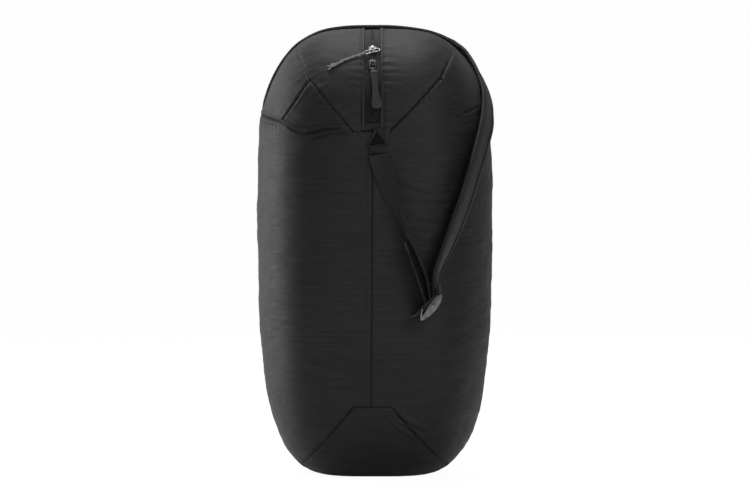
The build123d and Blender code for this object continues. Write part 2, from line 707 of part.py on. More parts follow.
save_bend(
    "lock_loop_webbing", bend(LOOP_BAR, LOOP_BEND_R, LOOP_ANG, LOOP_ANG, LOOP_LEG, LOOP_LEG)
)
save_bend("webbing_turn", bend(TURN_BAR, TURN_BEND_R, MAIN_ANG, TAIL_ANG, 8.0, 8.0))

# ---------------------------------------------------------------- adjuster webbing and its tail
# both start a little beyond the legs of the turn
turn = bend(TURN_BAR, TURN_BEND_R, MAIN_ANG, TAIL_ANG, 8.4, 8.6)
MAIN_END, TAIL_START = to_world(turn[0]), to_world(turn[-1])


def turned(deg):
    """Level width direction, turned deg from +X towards the front."""
    angle = math.radians(deg)
    return (math.cos(angle), -math.sin(angle), 0.0)


# stations: (middle, width direction[, run direction])
ADJUSTER = [
    ((4.8, -124.9, 391.4), turned(0), (0.0, 0.0, -1.0)),
    ((7.2, -127.3, 381.0), turned(12)),
    ((12.5, -130.0, 363.0), turned(27)),
    ((17.8, -132.6, 346.0), turned(42)),
    ((26.2, -135.4, 326.0), turned(60)),
    ((34.4, -136.9, 311.0), turned(76)),
    ((39.6, -137.0, 295.6), turned(86)),
    ((46.8, -136.4, 281.0), turned(92)),
    ((55.2, -135.6, 263.0), turned(95)),
    ((61.2, -135.6, 247.3), LOCK_ACROSS),
    ((65.2, -135.3, 231.0), LOCK_ACROSS),
    (MAIN_END, LOCK_ACROSS, leg_dir(MAIN_ANG, -1)),
]
TAIL = [
    (TAIL_START, LOCK_ACROSS, leg_dir(TAIL_ANG)),
    ((54.2, -135.3, 236.0), LOCK_ACROSS),
    ((46.6, -136.6, 258.0), turned(95)),
    ((39.6, -137.3, 277.0), turned(92)),
]
TAIL_FOLD = [
    ((39.45, -137.3, 277.4), turned(92)),
    ((38.0, -137.3, 281.5), turned(92)),
    ((36.4, -137.3, 286.0), turned(92)),
]
save_band("adjuster_webbing", ADJUSTER, WEB_W, WEB_T)
save_band("webbing_tail", TAIL, WEB_W, WEB_T)
save_band("webbing_tail_fold", TAIL_FOLD, WEB_W, 3.4)

# ---------------------------------------------------------------- anchors at the ends of the zip
save_box("front_anchor_band", (3.8, -123.2, 396.4), (22.0, 3.6, 8.6))
save_box("back_anchor_tab", (-1.0, 123.9, 395.4), (20.0, 4.2, 24.0))

# (x, z) of the loop and of the triangular hole in it
ANCHOR_LOOP = [
    (-5.5, 401.0), (13.0, 401.0), (13.0, 408.0), (6.0, 426.5), (1.5, 426.5), (-5.5, 408.0),
]
ANCHOR_HOLE = [(-1.8, 404.5), (9.2, 404.5), (3.8, 420.5)]
with BuildPart() as front_anchor_loop:
    with BuildSketch(Plane.XZ.offset(121.0)):
        with BuildLine():
            Polyline(*ANCHOR_LOOP, close=True)
        make_face()
        with BuildLine():
            Polyline(*ANCHOR_HOLE, close=True)
        make_face(mode=Mode.SUBTRACT)
    extrude(amount=2.0)
save(front_anchor_loop.part, "front_anchor_loop")
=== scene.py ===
"""A filled nylon sling sack standing on the floor, with a zip over its domed top and a padded strap.

Shapes are worked out in mm and scaled to metres by MM: x runs to the right seen from the front,
the front faces -y, and z is the height over the floor. The dome's axis lies along x at AXIS_Z.
Angles on the dome are in degrees from its top, positive towards the front.
"""
import itertools
import math
from collections import namedtuple
from math import cos, pi, radians, sin

import bmesh
import bpy
import numpy as np
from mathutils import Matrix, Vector, kdtree


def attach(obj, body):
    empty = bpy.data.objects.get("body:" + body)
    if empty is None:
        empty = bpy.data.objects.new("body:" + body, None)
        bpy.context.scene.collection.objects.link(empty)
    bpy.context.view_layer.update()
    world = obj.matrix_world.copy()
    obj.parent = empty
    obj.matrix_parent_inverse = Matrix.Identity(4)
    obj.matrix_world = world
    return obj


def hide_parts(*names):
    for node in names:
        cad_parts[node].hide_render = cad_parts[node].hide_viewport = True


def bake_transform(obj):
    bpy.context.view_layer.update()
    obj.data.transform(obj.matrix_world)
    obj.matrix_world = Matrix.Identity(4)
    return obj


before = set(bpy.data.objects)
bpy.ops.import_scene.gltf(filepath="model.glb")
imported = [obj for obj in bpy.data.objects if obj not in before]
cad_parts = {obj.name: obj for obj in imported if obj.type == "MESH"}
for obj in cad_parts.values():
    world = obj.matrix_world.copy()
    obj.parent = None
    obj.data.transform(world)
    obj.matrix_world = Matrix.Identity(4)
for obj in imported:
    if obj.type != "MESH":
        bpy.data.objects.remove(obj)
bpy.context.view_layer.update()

MM = 0.001
X_AXIS, Z_AXIS = np.array([1.0, 0, 0]), np.array([0, 0, 1.0])

# ---------------------------------------------------------------- driving sizes
AXIS_Z, DOME_R, HALF_W = 415.0, 120.0, 138.0
QUARTER = 0.5 * pi * DOME_R  # run over the dome from its top to the axis height
ZIP_X, ZIP_HALF = -3.0, 10.2

# cross-section of the dome from the side pole to the middle: (x, distance from the axis)
PROFILE = [
    (138.0, 0.0), (136.6, 14.0), (132.5, 32.0), (126.8, 49.0), (121.0, 62.0), (115.0, 73.5),
    (108.5, 83.5), (102.0, 91.5), (94.0, 99.3), (85.0, 106.0), (75.0, 111.3), (63.0, 115.5),
    (48.0, 118.2), (30.0, 119.5), (0.0, 120.0),
]
# body below the dome: (z, half width)
BODY = [
    (0.0, 66.0), (2.5, 75.0), (6.0, 81.5), (10.0, 87.5), (17.0, 95.5), (24.0, 101.5),
    (31.0, 107.0), (42.0, 113.0), (54.0, 118.2), (78.0, 125.8), (102.0, 130.3), (126.0, 133.3),
    (150.0, 135.6), (174.0, 137.3), (222.0, 139.8), (270.0, 141.0), (318.0, 141.2),
    (366.0, 140.2), (390.0, 139.2), (415.0, 138.0),
]
FLOOR_HALF_W = BODY[0][1]


# ---------------------------------------------------------------- curves
def unit(v):
    v = np.asarray(v, float)
    return v / np.maximum(np.linalg.norm(v, axis=-1, keepdims=True), 1e-12)


def spline(points, steps):
    """A Catmull-Rom curve through the points, with this many steps per span."""
    p = np.array(points, float)
    p = np.vstack([2 * p[0] - p[1], p, 2 * p[-1] - p[-2]])
    t = np.linspace(0, 1, steps, endpoint=False)[:, None]
    spans = []
    for i in range(1, len(p) - 2):
        p0, p1, p2, p3 = p[i - 1 : i + 3]
        spans.append(
            0.5 * ((2 * p1) + (p2 - p0) * t + (2 * p0 - 5 * p1 + 4 * p2 - p3) * t**2
                   + (3 * p1 - p0 - 3 * p2 + p3) * t**3)
        )
    return np.vstack(spans + [p[-2][None]])


def run_length(points):
    """Length along a polyline at each of its points."""
    return np.concatenate([[0], np.cumsum(np.linalg.norm(np.diff(points, axis=0), axis=1))])


def interp_rows(at, knots, rows):
    return np.stack([np.interp(at, knots, rows[:, k]) for k in range(rows.shape[1])], -1)


def dense(points, step):
    """Points about a step apart on a spline, their place among the given points, their run."""
    curve = spline(points, 24)
    place = np.linspace(0, len(points) - 1, len(curve))
    run = run_length(curve)
    even = np.linspace(0, run[-1], max(3, int(run[-1] / step) + 1))
    return interp_rows(even, run, curve), np.interp(even, run, place), even


# ---------------------------------------------------------------- outer surface of the sack
def smooth_profile():
    """The profile as a fine curve, splined on past both ends to keep their tangents."""
    steps, extra = 24, 3
    below = [(x, -r) for x, r in PROFILE[1 : extra + 1]][::-1]
    beyond = [(-x, r) for x, r in PROFILE[-extra - 1 : -1]][::-1]
    start = extra * steps
    curve = spline(below + PROFILE + beyond, steps)
    return curve[start : start + (len(PROFILE) - 1) * steps + 1]


CURVE = smooth_profile()
CURVE_RUN = run_length(CURVE)
CURVE_LEN = CURVE_RUN[-1]
_tangent = np.gradient(CURVE, axis=0)
CURVE_NORMAL = unit(np.stack([_tangent[:, 1], -_tangent[:, 0]], 1))
CURVE_ANGLE = np.arctan2(CURVE[:, 1] / DOME_R, CURVE[:, 0] / HALF_W)
_body = spline(BODY, 16)
BODY_Z = np.maximum.accumulate(_body[:, 0] + np.arange(len(_body)) * 1e-9)
BODY_W = _body[:, 1]
BODY_SLOPE = np.gradient(BODY_W, BODY_Z)


def body_scale(z):
    """Size of the section at height z against the dome's; 1 above the axis."""
    return np.interp(z, BODY_Z, BODY_W) / HALF_W


def profile_r(x):
    return np.interp(np.abs(x), CURVE[::-1, 0], CURVE[::-1, 1])


def surface_point(across, down):
    """Outer surface at a signed run from the middle and a run from the top, + to the front."""
    run = CURVE_LEN - np.clip(np.abs(across), 0, CURVE_LEN)
    x = np.sign(across) * np.interp(run, CURVE_RUN, CURVE[:, 0])
    r = np.interp(run, CURVE_RUN, CURVE[:, 1])
    theta = np.clip(np.abs(down), 0, QUARTER) / DOME_R
    below = np.abs(down) - QUARTER
    on_body = below > 0
    z = np.where(on_body, np.maximum(AXIS_Z - below, 0), AXIS_Z + r * np.cos(theta))
    under = np.clip(below - AXIS_Z, 0, FLOOR_HALF_W) / FLOOR_HALF_W
    scale = body_scale(z) * (1 - under)
    depth = np.where(on_body, r * scale, r * np.sin(theta))
    return np.stack([x * scale, -np.sign(down) * depth, z], -1)


def surface_normal(points):
    """Outward normals of the outer surface at points on or near it."""
    x, y, z = points.T
    up = z >= AXIS_Z
    scale = body_scale(z)
    rho = np.where(up, np.hypot(y, z - AXIS_Z), np.abs(y))
    angle = np.arctan2(rho / scale / DOME_R, np.abs(x) / scale / HALF_W)
    nx = np.interp(angle, CURVE_ANGLE, CURVE_NORMAL[:, 0])
    nr = np.interp(angle, CURVE_ANGLE, CURVE_NORMAL[:, 1])
    side_x = np.where(x >= 0, 1.0, -1.0)
    side_y = np.where(y >= 0, 1.0, -1.0)
    safe_rho = np.maximum(rho, 1e-6)
    dome = np.stack([side_x * nx, nr * y / safe_rho, nr * (z - AXIS_Z) / safe_rho], 1)
    slope = np.interp(z, BODY_Z, BODY_SLOPE) / HALF_W
    rise = -slope * (np.abs(x) / scale * nx + np.abs(y) / scale * nr)
    body = np.stack([side_x * nx, side_y * nr, rise], 1)
    normal = np.where(up[:, None], dome, body)
    underside = (z < 0.01) & (np.hypot(x, y) < FLOOR_HALF_W)
    return unit(np.where(underside[:, None], -Z_AXIS, normal))


def half_depth(x, z):
    """Distance of the front or back surface from the plane y = 0."""
    scale = body_scale(z)
    dome = np.sqrt(np.maximum(profile_r(x) ** 2 - (np.asarray(z) - AXIS_Z) ** 2, 0))
    return np.where(np.asarray(z) >= AXIS_Z, dome, profile_r(x / scale) * scale)


def arc_point(x, run, radius, deg=0.0):
    """Point at a run forward from the angle deg, at a radius from the dome's axis."""
    theta = np.radians(deg) + np.asarray(run, float) / DOME_R
    x, theta, radius = np.broadcast_arrays(np.asarray(x, float), theta, radius)
    return np.stack([x, -radius * np.sin(theta), AXIS_Z + radius * np.cos(theta)], -1)


def arc_normal(theta):
    return np.stack([0 * theta, -np.sin(theta), np.cos(theta)], -1)


def over_dome(x, deg, height):
    return arc_point(x, 0.0, float(profile_r(x)) + height, deg)


# ---------------------------------------------------------------- noise
HASH_FACTORS = np.array([374761393, 668265263, 2147483647])


def cell_value(cell, seed):
    """A repeatable value from -1 to 1 for each whole-number cell."""
    h = (cell @ HASH_FACTORS + seed * 974634777) & 0xFFFFFFFF
    h = ((h ^ (h >> 13)) * 1274126177) & 0xFFFFFFFF
    h = h ^ (h >> 16)
    return (h & 0xFFFFFF) / float(0xFFFFFF) * 2 - 1


def noise(points, scale, seed, octaves=1):
    """Smooth value noise, about -1 to 1; scale is the feature size, one number or one per axis."""
    total, strength, full = 0.0, 1.0, 0.0
    scaled = points / np.asarray(scale, float)
    for octave in range(octaves):
        cell = np.floor(scaled).astype(np.int64)
        f = scaled - cell
        f = f * f * f * (f * (f * 6 - 15) + 10)
        value = 0
        for corner in itertools.product((0, 1), repeat=3):
            weight = np.prod(np.where(corner, f, 1 - f), axis=1)
            value = value + weight * cell_value(cell + corner, seed + octave * 31)
        total = total + strength * value
        full += strength
        strength *= 0.5
        scaled = scaled * 2.03 + 17.3
    return total / full


# ---------------------------------------------------------------- shader helpers
def set_inputs(tree, node, inputs):
    """Sets input values, and links the inputs that are given a socket."""
    for key, value in inputs.items():
        if isinstance(value, bpy.types.NodeSocket):
            tree.links.new(value, node.inputs[key])
        else:
            node.inputs[key].default_value = value


def add(tree, kind, inputs=None, **settings):
    node = tree.nodes.new("ShaderNode" + kind)
    for key, value in settings.items():
        setattr(node, key, value)
    set_inputs(tree, node, inputs or {})
    return node


def new_material(name):
    material = bpy.data.materials.new(name)
    material.use_nodes = True
    tree = material.node_tree
    tree.nodes.clear()
    output = add(tree, "OutputMaterial")
    shader = add(tree, "BsdfPrincipled")
    tree.links.new(shader.outputs[0], output.inputs[0])
    return material, tree, shader


def mapping(tree, vector, scale):
    node = add(tree, "Mapping", {"Scale": scale, "Vector": vector})
    return node.outputs[0]


def noise_texture(tree, vector, scale=1.0, detail=2.0, rough=0.5):
    inputs = {"Scale": scale, "Detail": detail, "Roughness": rough, "Vector": vector}
    return add(tree, "TexNoise", inputs).outputs["Fac"]


def wave_texture(tree, vector, direction, **inputs):
    inputs = {"Scale": 1.0, "Vector": vector, **inputs}
    node = add(tree, "TexWave", inputs, wave_type="BANDS", bands_direction=direction)
    return node.outputs["Fac"]


def math_node(tree, operation, a, b):
    return add(tree, "Math", {0: a, 1: b}, operation=operation).outputs[0]


def weighted_sum(tree, *terms):
    """Sum of (socket, weight) terms."""
    total = None
    for source, weight in terms:
        part = math_node(tree, "MULTIPLY", source, weight)
        total = part if total is None else math_node(tree, "ADD", total, part)
    return total


def map_range(tree, value, source=(0.0, 1.0), target=(0.0, 1.0)):
    return add(tree, "MapRange", {
        "From Min": source[0], "From Max": source[1],
        "To Min": target[0], "To Max": target[1], "Value": value,
    }).outputs[0]


def mix_colour(tree, factor, a, b):
    a, b = ((*c, 1) if isinstance(c, tuple) else c for c in (a, b))
    node = add(tree, "Mix", data_type="RGBA")
    set_inputs(tree, node, {"A": a, "B": b, "Factor": factor})
    return node.outputs["Result"]


def bump(tree, height, strength, distance):
    inputs = {"Strength": strength, "Distance": distance, "Height": height}
    return add(tree, "Bump", inputs).outputs[0]


# ---------------------------------------------------------------- kinds of material
def nylon(name, dark, light, sheen, rough=0.55):
    """Slubbed nylon: streaks across the cloth, a fine weave, painted shade in the seams and folds. UVs
    are in metres.
    """
    material, tree, shader = new_material(name)
    uv = add(tree, "UVMap").outputs[0]
    streak = noise_texture(tree, mapping(tree, uv, (38, 620, 1)), detail=3.0, rough=0.62)
    slub = noise_texture(tree, mapping(tree, uv, (16, 300, 1)))
    down = noise_texture(tree, mapping(tree, uv, (900, 60, 1)))
    blotch = noise_texture(tree, mapping(tree, uv, (7, 9, 1)), detail=3.0, rough=0.6)
    weft = wave_texture(tree, mapping(tree, uv, (350, 420, 1)), "Y", Distortion=1.5)
    height = weighted_sum(tree, (streak, 1.0), (slub, 0.8), (down, 0.35), (weft, 0.18))
    centred = math_node(tree, "SUBTRACT", blotch, 0.5)
    tone = weighted_sum(tree, (streak, 0.55), (slub, 0.45), (centred, 0.35))
    cloth = mix_colour(tree, map_range(tree, tone, source=(0.3, 0.72)), dark, light)
    # the 'seam' attribute is painted shade: it darkens the cloth to near black in seams, deep folds
    # and the zip's stitch grooves
    seam = add(tree, "Attribute", attribute_name="seam").outputs["Fac"]
    set_inputs(tree, shader, {
        "Base Color": mix_colour(tree, seam, cloth, (0.0015, 0.0015, 0.0015)),
        "Roughness": map_range(
            tree, streak, source=(0.25, 0.75), target=(rough - 0.1, rough + 0.12)
        ),
        "Sheen Weight": sheen,
        "Sheen Roughness": 0.35,
        "Sheen Tint": (0.95, 0.96, 1.0, 1),
        "Specular IOR Level": 0.4,
        "Normal": bump(tree, height, strength=0.45, distance=0.0006),
    })
    return material


def woven(name, dark, light, pitch, rough=0.6, sheen=0.3, twill=False):
    """Narrow woven goods with a thread pitch in mm. UV u runs along, v across, in metres."""
    material, tree, shader = new_material(name)
    uv = add(tree, "UVMap").outputs[0]
    threads = 1000.0 / pitch
    bands = threads * 0.314
    slant = threads * (0.2 if twill else 0.0)
    across = wave_texture(
        tree, mapping(tree, uv, (bands, slant, 1)), "X", Distortion=0.6, Detail=1.0
    )
    along = wave_texture(tree, mapping(tree, uv, (bands, bands, 1)), "Y")
    fuzz = noise_texture(tree, mapping(tree, uv, (900, 900, 1)), rough=0.6)
    wear = noise_texture(tree, mapping(tree, uv, (25, 60, 1)), detail=3.0, rough=0.6)
    height = weighted_sum(tree, (across, 0.8), (along, 0.45), (fuzz, 0.35))
    tone = weighted_sum(tree, (height, 0.4), (wear, 0.5))
    set_inputs(tree, shader, {
        "Base Color": mix_colour(tree, map_range(tree, tone, source=(0.2, 0.85)), dark, light),
        "Roughness": rough,
        "Sheen Weight": sheen,
        "Sheen Roughness": 0.4,
        "Specular IOR Level": 0.4,
        "Normal": bump(tree, height, strength=0.6, distance=0.0004),
    })
    return material


def solid(name, base, rough, metal=0.0, grain=0.0002, coat=0.0, spot=0.1, scale=260.0):
    """Moulded or metal pieces: a small tone change, scuffed roughness, a faint surface grain."""
    material, tree, shader = new_material(name)
    position = add(tree, "NewGeometry").outputs["Position"]
    patches = noise_texture(tree, position, scale, detail=3.0, rough=0.6)
    fine = noise_texture(tree, position, scale * 6, rough=0.6)
    darker = tuple(c * (1 - spot) for c in base)
    lighter = tuple(min(1.0, c * (1 + spot)) for c in base)
    tone = map_range(tree, patches, source=(0.3, 0.7))
    set_inputs(tree, shader, {
        "Base Color": mix_colour(tree, tone, darker, lighter),
        "Roughness": map_range(tree, patches, target=(max(0.03, rough - 0.08), rough + 0.1)),
        "Metallic": metal,
        "Coat Weight": coat,
        "Coat Roughness": 0.12,
        "Normal": bump(tree, fine, strength=0.35, distance=grain),
    })
    return material


SHELL = nylon("nylon_shell", dark=(0.008, 0.0077, 0.0083), light=(0.029, 0.028, 0.0292), sheen=0.2)
GUSSET = nylon(
    "nylon_gusset", dark=(0.008, 0.0077, 0.0083), light=(0.028, 0.027, 0.0282), sheen=0.2
)
BASE = nylon("nylon_base", dark=(0.0075, 0.0072, 0.0077), light=(0.026, 0.025, 0.0262), sheen=0.18)
# the shell cloth made lighter: painted highlight along the folded edges beside the zip
LIP_HIGHLIGHT_NYLON = nylon(
    "nylon_turned_edge", dark=(0.016, 0.0158, 0.0165), light=(0.046, 0.0455, 0.047),
    sheen=0.3, rough=0.45,
)
ZIP_TAPE = woven(
    "zip_tape_knit", dark=(0.002, 0.002, 0.0022), light=(0.008, 0.008, 0.0085),
    pitch=0.9, sheen=0.2, twill=True,
)
COIL = solid("zip_coil_nylon", base=(0.035, 0.035, 0.037), rough=0.35)
BRIGHT_ZINC = solid(
    "bright_zinc", base=(0.5, 0.5, 0.52), rough=0.26, metal=1.0, grain=0.00005, spot=0.06
)
BLACK_ZINC = solid("black_lacquer_zinc", base=(0.012, 0.012, 0.013), rough=0.3, coat=0.5)
CORD = woven(
    "grey_cord", dark=(0.26, 0.26, 0.26), light=(0.52, 0.52, 0.525),
    pitch=1.0, rough=0.75, twill=True,
)
RUBBER = solid("pull_rubber", base=(0.045, 0.045, 0.047), rough=0.36, grain=0.00012, scale=120)
STRAP_FACE = woven(
    "strap_face", dark=(0.015, 0.015, 0.016), light=(0.038, 0.038, 0.040), pitch=1.5, sheen=0.12
)
BINDING = woven(
    "strap_binding", dark=(0.004, 0.004, 0.0045), light=(0.013, 0.013, 0.014),
    pitch=1.0, rough=0.42, sheen=0.1,
)
WEBBING = woven(
    "webbing_rib", dark=(0.007, 0.007, 0.0075), light=(0.024, 0.024, 0.025),
    pitch=1.6, rough=0.5, sheen=0.15, twill=True,
)
# webbing made near black: painted shade for the ply seen through the anchor loop's opening
PLY_PAINTED_SHADE = woven(
    "webbing_ply_painted_shade", dark=(0.001, 0.001, 0.001), light=(0.003, 0.003, 0.003),
    pitch=1.6, rough=0.9, sheen=0.0, twill=True,
)
THREAD = solid("sewing_thread", base=(0.016, 0.016, 0.017), rough=0.6, grain=0.0001)
ACETAL = solid("lock_acetal", base=(0.012, 0.012, 0.013), rough=0.2, coat=0.35, grain=0.00008)
# light grey, half metal: painted highlight standing for the reflection on the lock's glossy black
# plastic
CHEEK_PAINTED_HIGHLIGHT = solid(
    "lock_cheek_painted_highlight", base=(0.5, 0.5, 0.51), rough=0.3, metal=0.5, coat=0.5,
    grain=0.00012, spot=0.4, scale=160.0,
)
PULL_NECK = solid("pull_neck", base=(0.010, 0.010, 0.011), rough=0.45, grain=0.0001)


# ---------------------------------------------------------------- mesh helpers
def new_object(name, data):
    ob = bpy.data.objects.new(name, data)
    bpy.context.scene.collection.objects.link(ob)
    return ob


def register(ob, slot, *nodes, rides="sack"):
    """Hides the frame pieces a piece replaces and hangs it on the part it rides on; slot is not used.
    """
    if rides:
        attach(ob, rides)
    if nodes:
        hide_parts(*nodes)


def fix_normals(ob, weld=None):
    bm = bmesh.new()
    bm.from_mesh(ob.data)
    if weld:
        bmesh.ops.remove_doubles(bm, verts=bm.verts, dist=weld)
    bmesh.ops.recalc_face_normals(bm, faces=bm.faces)
    bm.to_mesh(ob.data)
    bm.free()


def make_object(name, points, faces, material, uvs=None, outward=True):
    """A smooth mesh from points in mm, with one UV per point."""
    mesh = bpy.data.meshes.new(name)
    mesh.from_pydata((np.asarray(points, float) * MM).tolist(), [], faces)
    if uvs is not None:
        layer = mesh.uv_layers.new(name="UVMap")
        index = np.zeros(len(mesh.loops), np.int64)
        mesh.loops.foreach_get("vertex_index", index)
        layer.data.foreach_set("uv", np.asarray(uvs, np.float32)[index].ravel())
    mesh.polygons.foreach_set("use_smooth", [True] * len(mesh.polygons))
    mesh.materials.append(material)
    mesh.validate()
    mesh.update()
    ob = new_object(name, mesh)
    if outward:
        fix_normals(ob)
    return ob


def ring_faces(rings, size, start=0, capped=False):
    """Quads between neighbouring closed rings of points."""
    faces = []
    for i in range(rings - 1):
        near = start + i * size
        far = near + size
        for j in range(size):
            k = (j + 1) % size
            faces.append((near + j, near + k, far + k, far + j))
    if capped:
        last = start + (rings - 1) * size
        faces.append(tuple(range(start + size - 1, start - 1, -1)))
        faces.append(tuple(range(last, last + size)))
    return faces


# centre line, width direction, thickness direction, run direction and length so far
Frames = namedtuple("Frames", "centre across out along run")


def slice_frames(frames, start, stop):
    return Frames(*(rows[start:stop] for rows in frames))


def ribbon_frames(stations, step):
    """Frames of a strap through stations of (x, y, z, width direction)."""
    stations = np.array(stations, float)
    centre, place, run = dense(stations[:, :3], step)
    across = interp_rows(place, range(len(stations)), stations[:, 3:])
    padded = np.vstack([np.repeat(across[:1], 4, 0), across, np.repeat(across[-1:], 4, 0)])
    kernel = np.ones(9) / 9
    across = np.stack([np.convolve(padded[:, k], kernel, "valid") for k in range(3)], 1)
    along = unit(np.gradient(centre, axis=0))
    across = unit(across - (across * along).sum(1, keepdims=True) * along)
    return Frames(centre, across, unit(np.cross(across, along)), along, run)


def frames_about(centre, axis, run):
    """Frames whose width direction is square to the run and to the axis."""
    along = unit(np.gradient(centre, axis=0))
    across = unit(np.cross(along, axis))
    return Frames(centre, across, np.cross(across, along), along, run)


def sweep(name, frames, section, material, capped=True, shape=None):
    """Sweeps a closed section [(across, out)]; shape(run, section) may change it on the way."""
    section = np.asarray(section, float)
    size = len(section)
    girth = run_length(section)
    points, uvs = [], []
    for centre, across, out, _, run in zip(*frames):
        here = shape(run, section) if shape else section
        points.append(centre + here[:, :1] * across + here[:, 1:2] * out)
        uvs.append(np.stack([np.full(size, run), girth], 1) * MM)
    faces = ring_faces(len(points), size, capped=capped)
    return make_object(name, np.vstack(points), faces, material, np.vstack(uvs))


def oval(half_w, half_h, count):
    turns = [2 * pi * i / count for i in range(count)]
    return [(half_w * cos(a), half_h * sin(a)) for a in turns]


def tube(name, points, radius, material, sides, step, axis):
    centre, _, run = dense(points, step)
    return sweep(name, frames_about(centre, axis, run), oval(radius, radius, sides), material)


def rounded_section(width, thick, corner, radius, bulge, spans):
    """Rounded-rectangle section with many points across, so that it can be shaped."""
    x, y = width / 2 - radius, thick / 2 - radius
    points = []
    for cx, cy, start in ((x, y, 0), (-x, y, 90), (-x, -y, 180), (x, -y, 270)):
        for i in range(corner + 1):
            a = radians(start + 90 * i / corner)
            points.append((cx + radius * cos(a), cy + radius * sin(a)))
        if start in (0, 180):
            side = 1 if start == 0 else -1
            for i in range(1, spans):
                f = 2 * i / spans - 1
                points.append((-side * x * f, side * (thick / 2 + bulge * (1 - f**2))))
    return points


def join(name, pieces):
    """Merges objects into one, keeping one material slot per material."""
    bm = bmesh.new()
    materials = []
    for piece in pieces:
        first_slot, first_face = len(materials), len(bm.faces)
        materials.extend(piece.data.materials)
        bm.from_mesh(piece.data)
        bm.faces.ensure_lookup_table()
        for face in bm.faces[first_face:]:
            face.material_index += first_slot
    unique = list(dict.fromkeys(materials))
    for face in bm.faces:
        face.material_index = unique.index(materials[face.material_index])
    mesh = bpy.data.meshes.new(name)
    bm.to_mesh(mesh)
    bm.free()
    for material in unique:
        mesh.materials.append(material)
    mesh.update()
    for piece in pieces:
        bpy.data.objects.remove(piece)
    return new_object(name, mesh)


# one stitch: (place along its length, height in radii)
STITCH = [(-0.5, -1.0), (-0.38, 0.35), (-0.18, 0.9), (0.18, 0.9), (0.38, 0.35), (0.5, -1.0)]


def stitches(path, normals, pitch, length, radius, sink=0.0, along=None, name="stitches"):
    """A row of thread stitches lying along a path."""
    path = np.asarray(path, float)
    normals = np.broadcast_to(normals, path.shape)
    along = unit(np.gradient(path, axis=0)) if along is None else along
    run = run_length(path)
    angles = [radians(a) for a in range(0, 360, 60)]
    points, faces = [], []
    for i in range(int(run[-1] / pitch)):
        at = (i + 0.5) * pitch
        centre = interp_rows(at, run, path)
        out = unit(interp_rows(at, run, normals))
        forward = unit(interp_rows(at, run, along))
        aside = np.cross(forward, out)
        faces += ring_faces(len(STITCH), len(angles), start=len(points))
        for place, height in STITCH:
            for a in angles:
                lift = sink + (height + sin(a)) * radius
                points.append(
                    centre + forward * place * length + out * lift + aside * cos(a) * radius
                )
    return make_object(name, points, faces, THREAD)


def prism(name, outline, bottom, top, bevel, put, material, rings=3):
    """A flat moulding with rounded edges: an anticlockwise outline placed by put(a, b, height)."""
    outline = np.asarray(outline, float)
    after = unit(np.roll(outline, -1, 0) - outline)
    before = unit(outline - np.roll(outline, 1, 0))
    normal = unit(np.stack([after[:, 1] + before[:, 1], -(after[:, 0] + before[:, 0])], 1))
    angles = [pi / 2 * i / rings for i in range(rings + 1)]
    levels = [(bevel * (1 - sin(a)), bottom + bevel * (1 - cos(a))) for a in angles]
    levels += [(bevel * (1 - cos(a)), top - bevel * (1 - sin(a))) for a in angles]
    size = len(outline)
    points, uvs = [], []
    for inset, height in levels:
        ring = outline - normal * inset
        points.append(put(ring[:, 0], ring[:, 1], np.full(size, height)))
        uvs.append(ring * MM)
    faces = ring_faces(len(levels), size, capped=True)
    return make_object(name, np.vstack(points), faces, material, np.vstack(uvs))


def in_frame(origin, a_axis, b_axis, n_axis):
    """A put function for flat axes a and b and the height n."""
    axes = [np.asarray(axis, float) for axis in (a_axis, b_axis, n_axis)]

    def put(*values):
        parts = (np.asarray(v, float)[..., None] * axis for v, axis in zip(values, axes))
        return np.asarray(origin, float) + sum(parts)

    return put


def on_arc(deg, x=0.0):
    return lambda a, b, n: arc_point(x + a, b, n, deg)


def round_rect(cx, cy, w, h, r, n=5):
    """Anticlockwise rectangle of w by h with corners of radius r in n steps."""
    points = []
    for sx, sy, start in ((1, -1, -90), (1, 1, 0), (-1, 1, 90), (-1, -1, 180)):
        for i in range(n + 1):
            a = radians(start + 90 * i / n)
            points.append((cx + sx * (w / 2 - r) + r * cos(a), cy + sy * (h / 2 - r) + r * sin(a)))
    return points


def densify(outline, step):
    """Splits the sides of a closed outline into parts of at least a step."""
    outline = np.asarray(outline, float)
    points = []
    for p, q in zip(outline, np.roll(outline, -1, 0)):
        n = max(1, int(np.linalg.norm(q - p) / step))
        points += [tuple(p + (q - p) * i / n) for i in range(n)]
    return points


# ---------------------------------------------------------------- seams, as (x, z) seen from the front
TIP_Z = 418.5
TIP_L, TIP_R = (-27.0, TIP_Z), (17.0, TIP_Z)
CORNER_L, CORNER_R = (-78.0, 478.0), (79.0, 480.0)  # diagonal meets gusset
SHOULDER_L, SHOULDER_R = (-95.0, 516.0), (99.0, 516.0)
CREST_L, CREST_R = (-106.0, 545.0), (110.0, 545.0)
NOTCH_L, NOTCH_R = (-113.0, 427.0), (109.0, 438.0)  # lowest bend of the gusset
FLANK_L, FLANK_R = (-170.0, 437.0), (170.0, 452.0)
PEAK_L, PEAK_R = (-26.0, 87.0), (19.0, 87.0)  # top of the base panel
SLOPE_L, SLOPE_R = (-88.5, 11.0), (86.5, 10.0)
FOOT_L, FOOT_R = (-130.0, -44.3), (131.0, -45.6)
CENTRE_LOW = (-5.0, PEAK_L[1])
ZIP_L, ZIP_R = ZIP_X - ZIP_HALF, ZIP_X + ZIP_HALF

SEAMS = {
    "left_diagonal": [TIP_L, CORNER_L, SHOULDER_L, CREST_L],
    "right_diagonal": [TIP_R, CORNER_R, SHOULDER_R, CREST_R],
    "left_gusset": [CORNER_L, NOTCH_L, FLANK_L],
    "right_gusset": [CORNER_R, NOTCH_R, FLANK_R],
    "centre": [(ZIP_X, TIP_Z), CENTRE_LOW],
    "tip": [TIP_L, TIP_R],
    "base": [FOOT_L, SLOPE_L, PEAK_L, PEAK_R, SLOPE_R, FOOT_R],
    "zip_left": [(ZIP_L, TIP_Z), (ZIP_L, 545)],
    "zip_right": [(ZIP_R, TIP_Z), (ZIP_R, 545)],
}
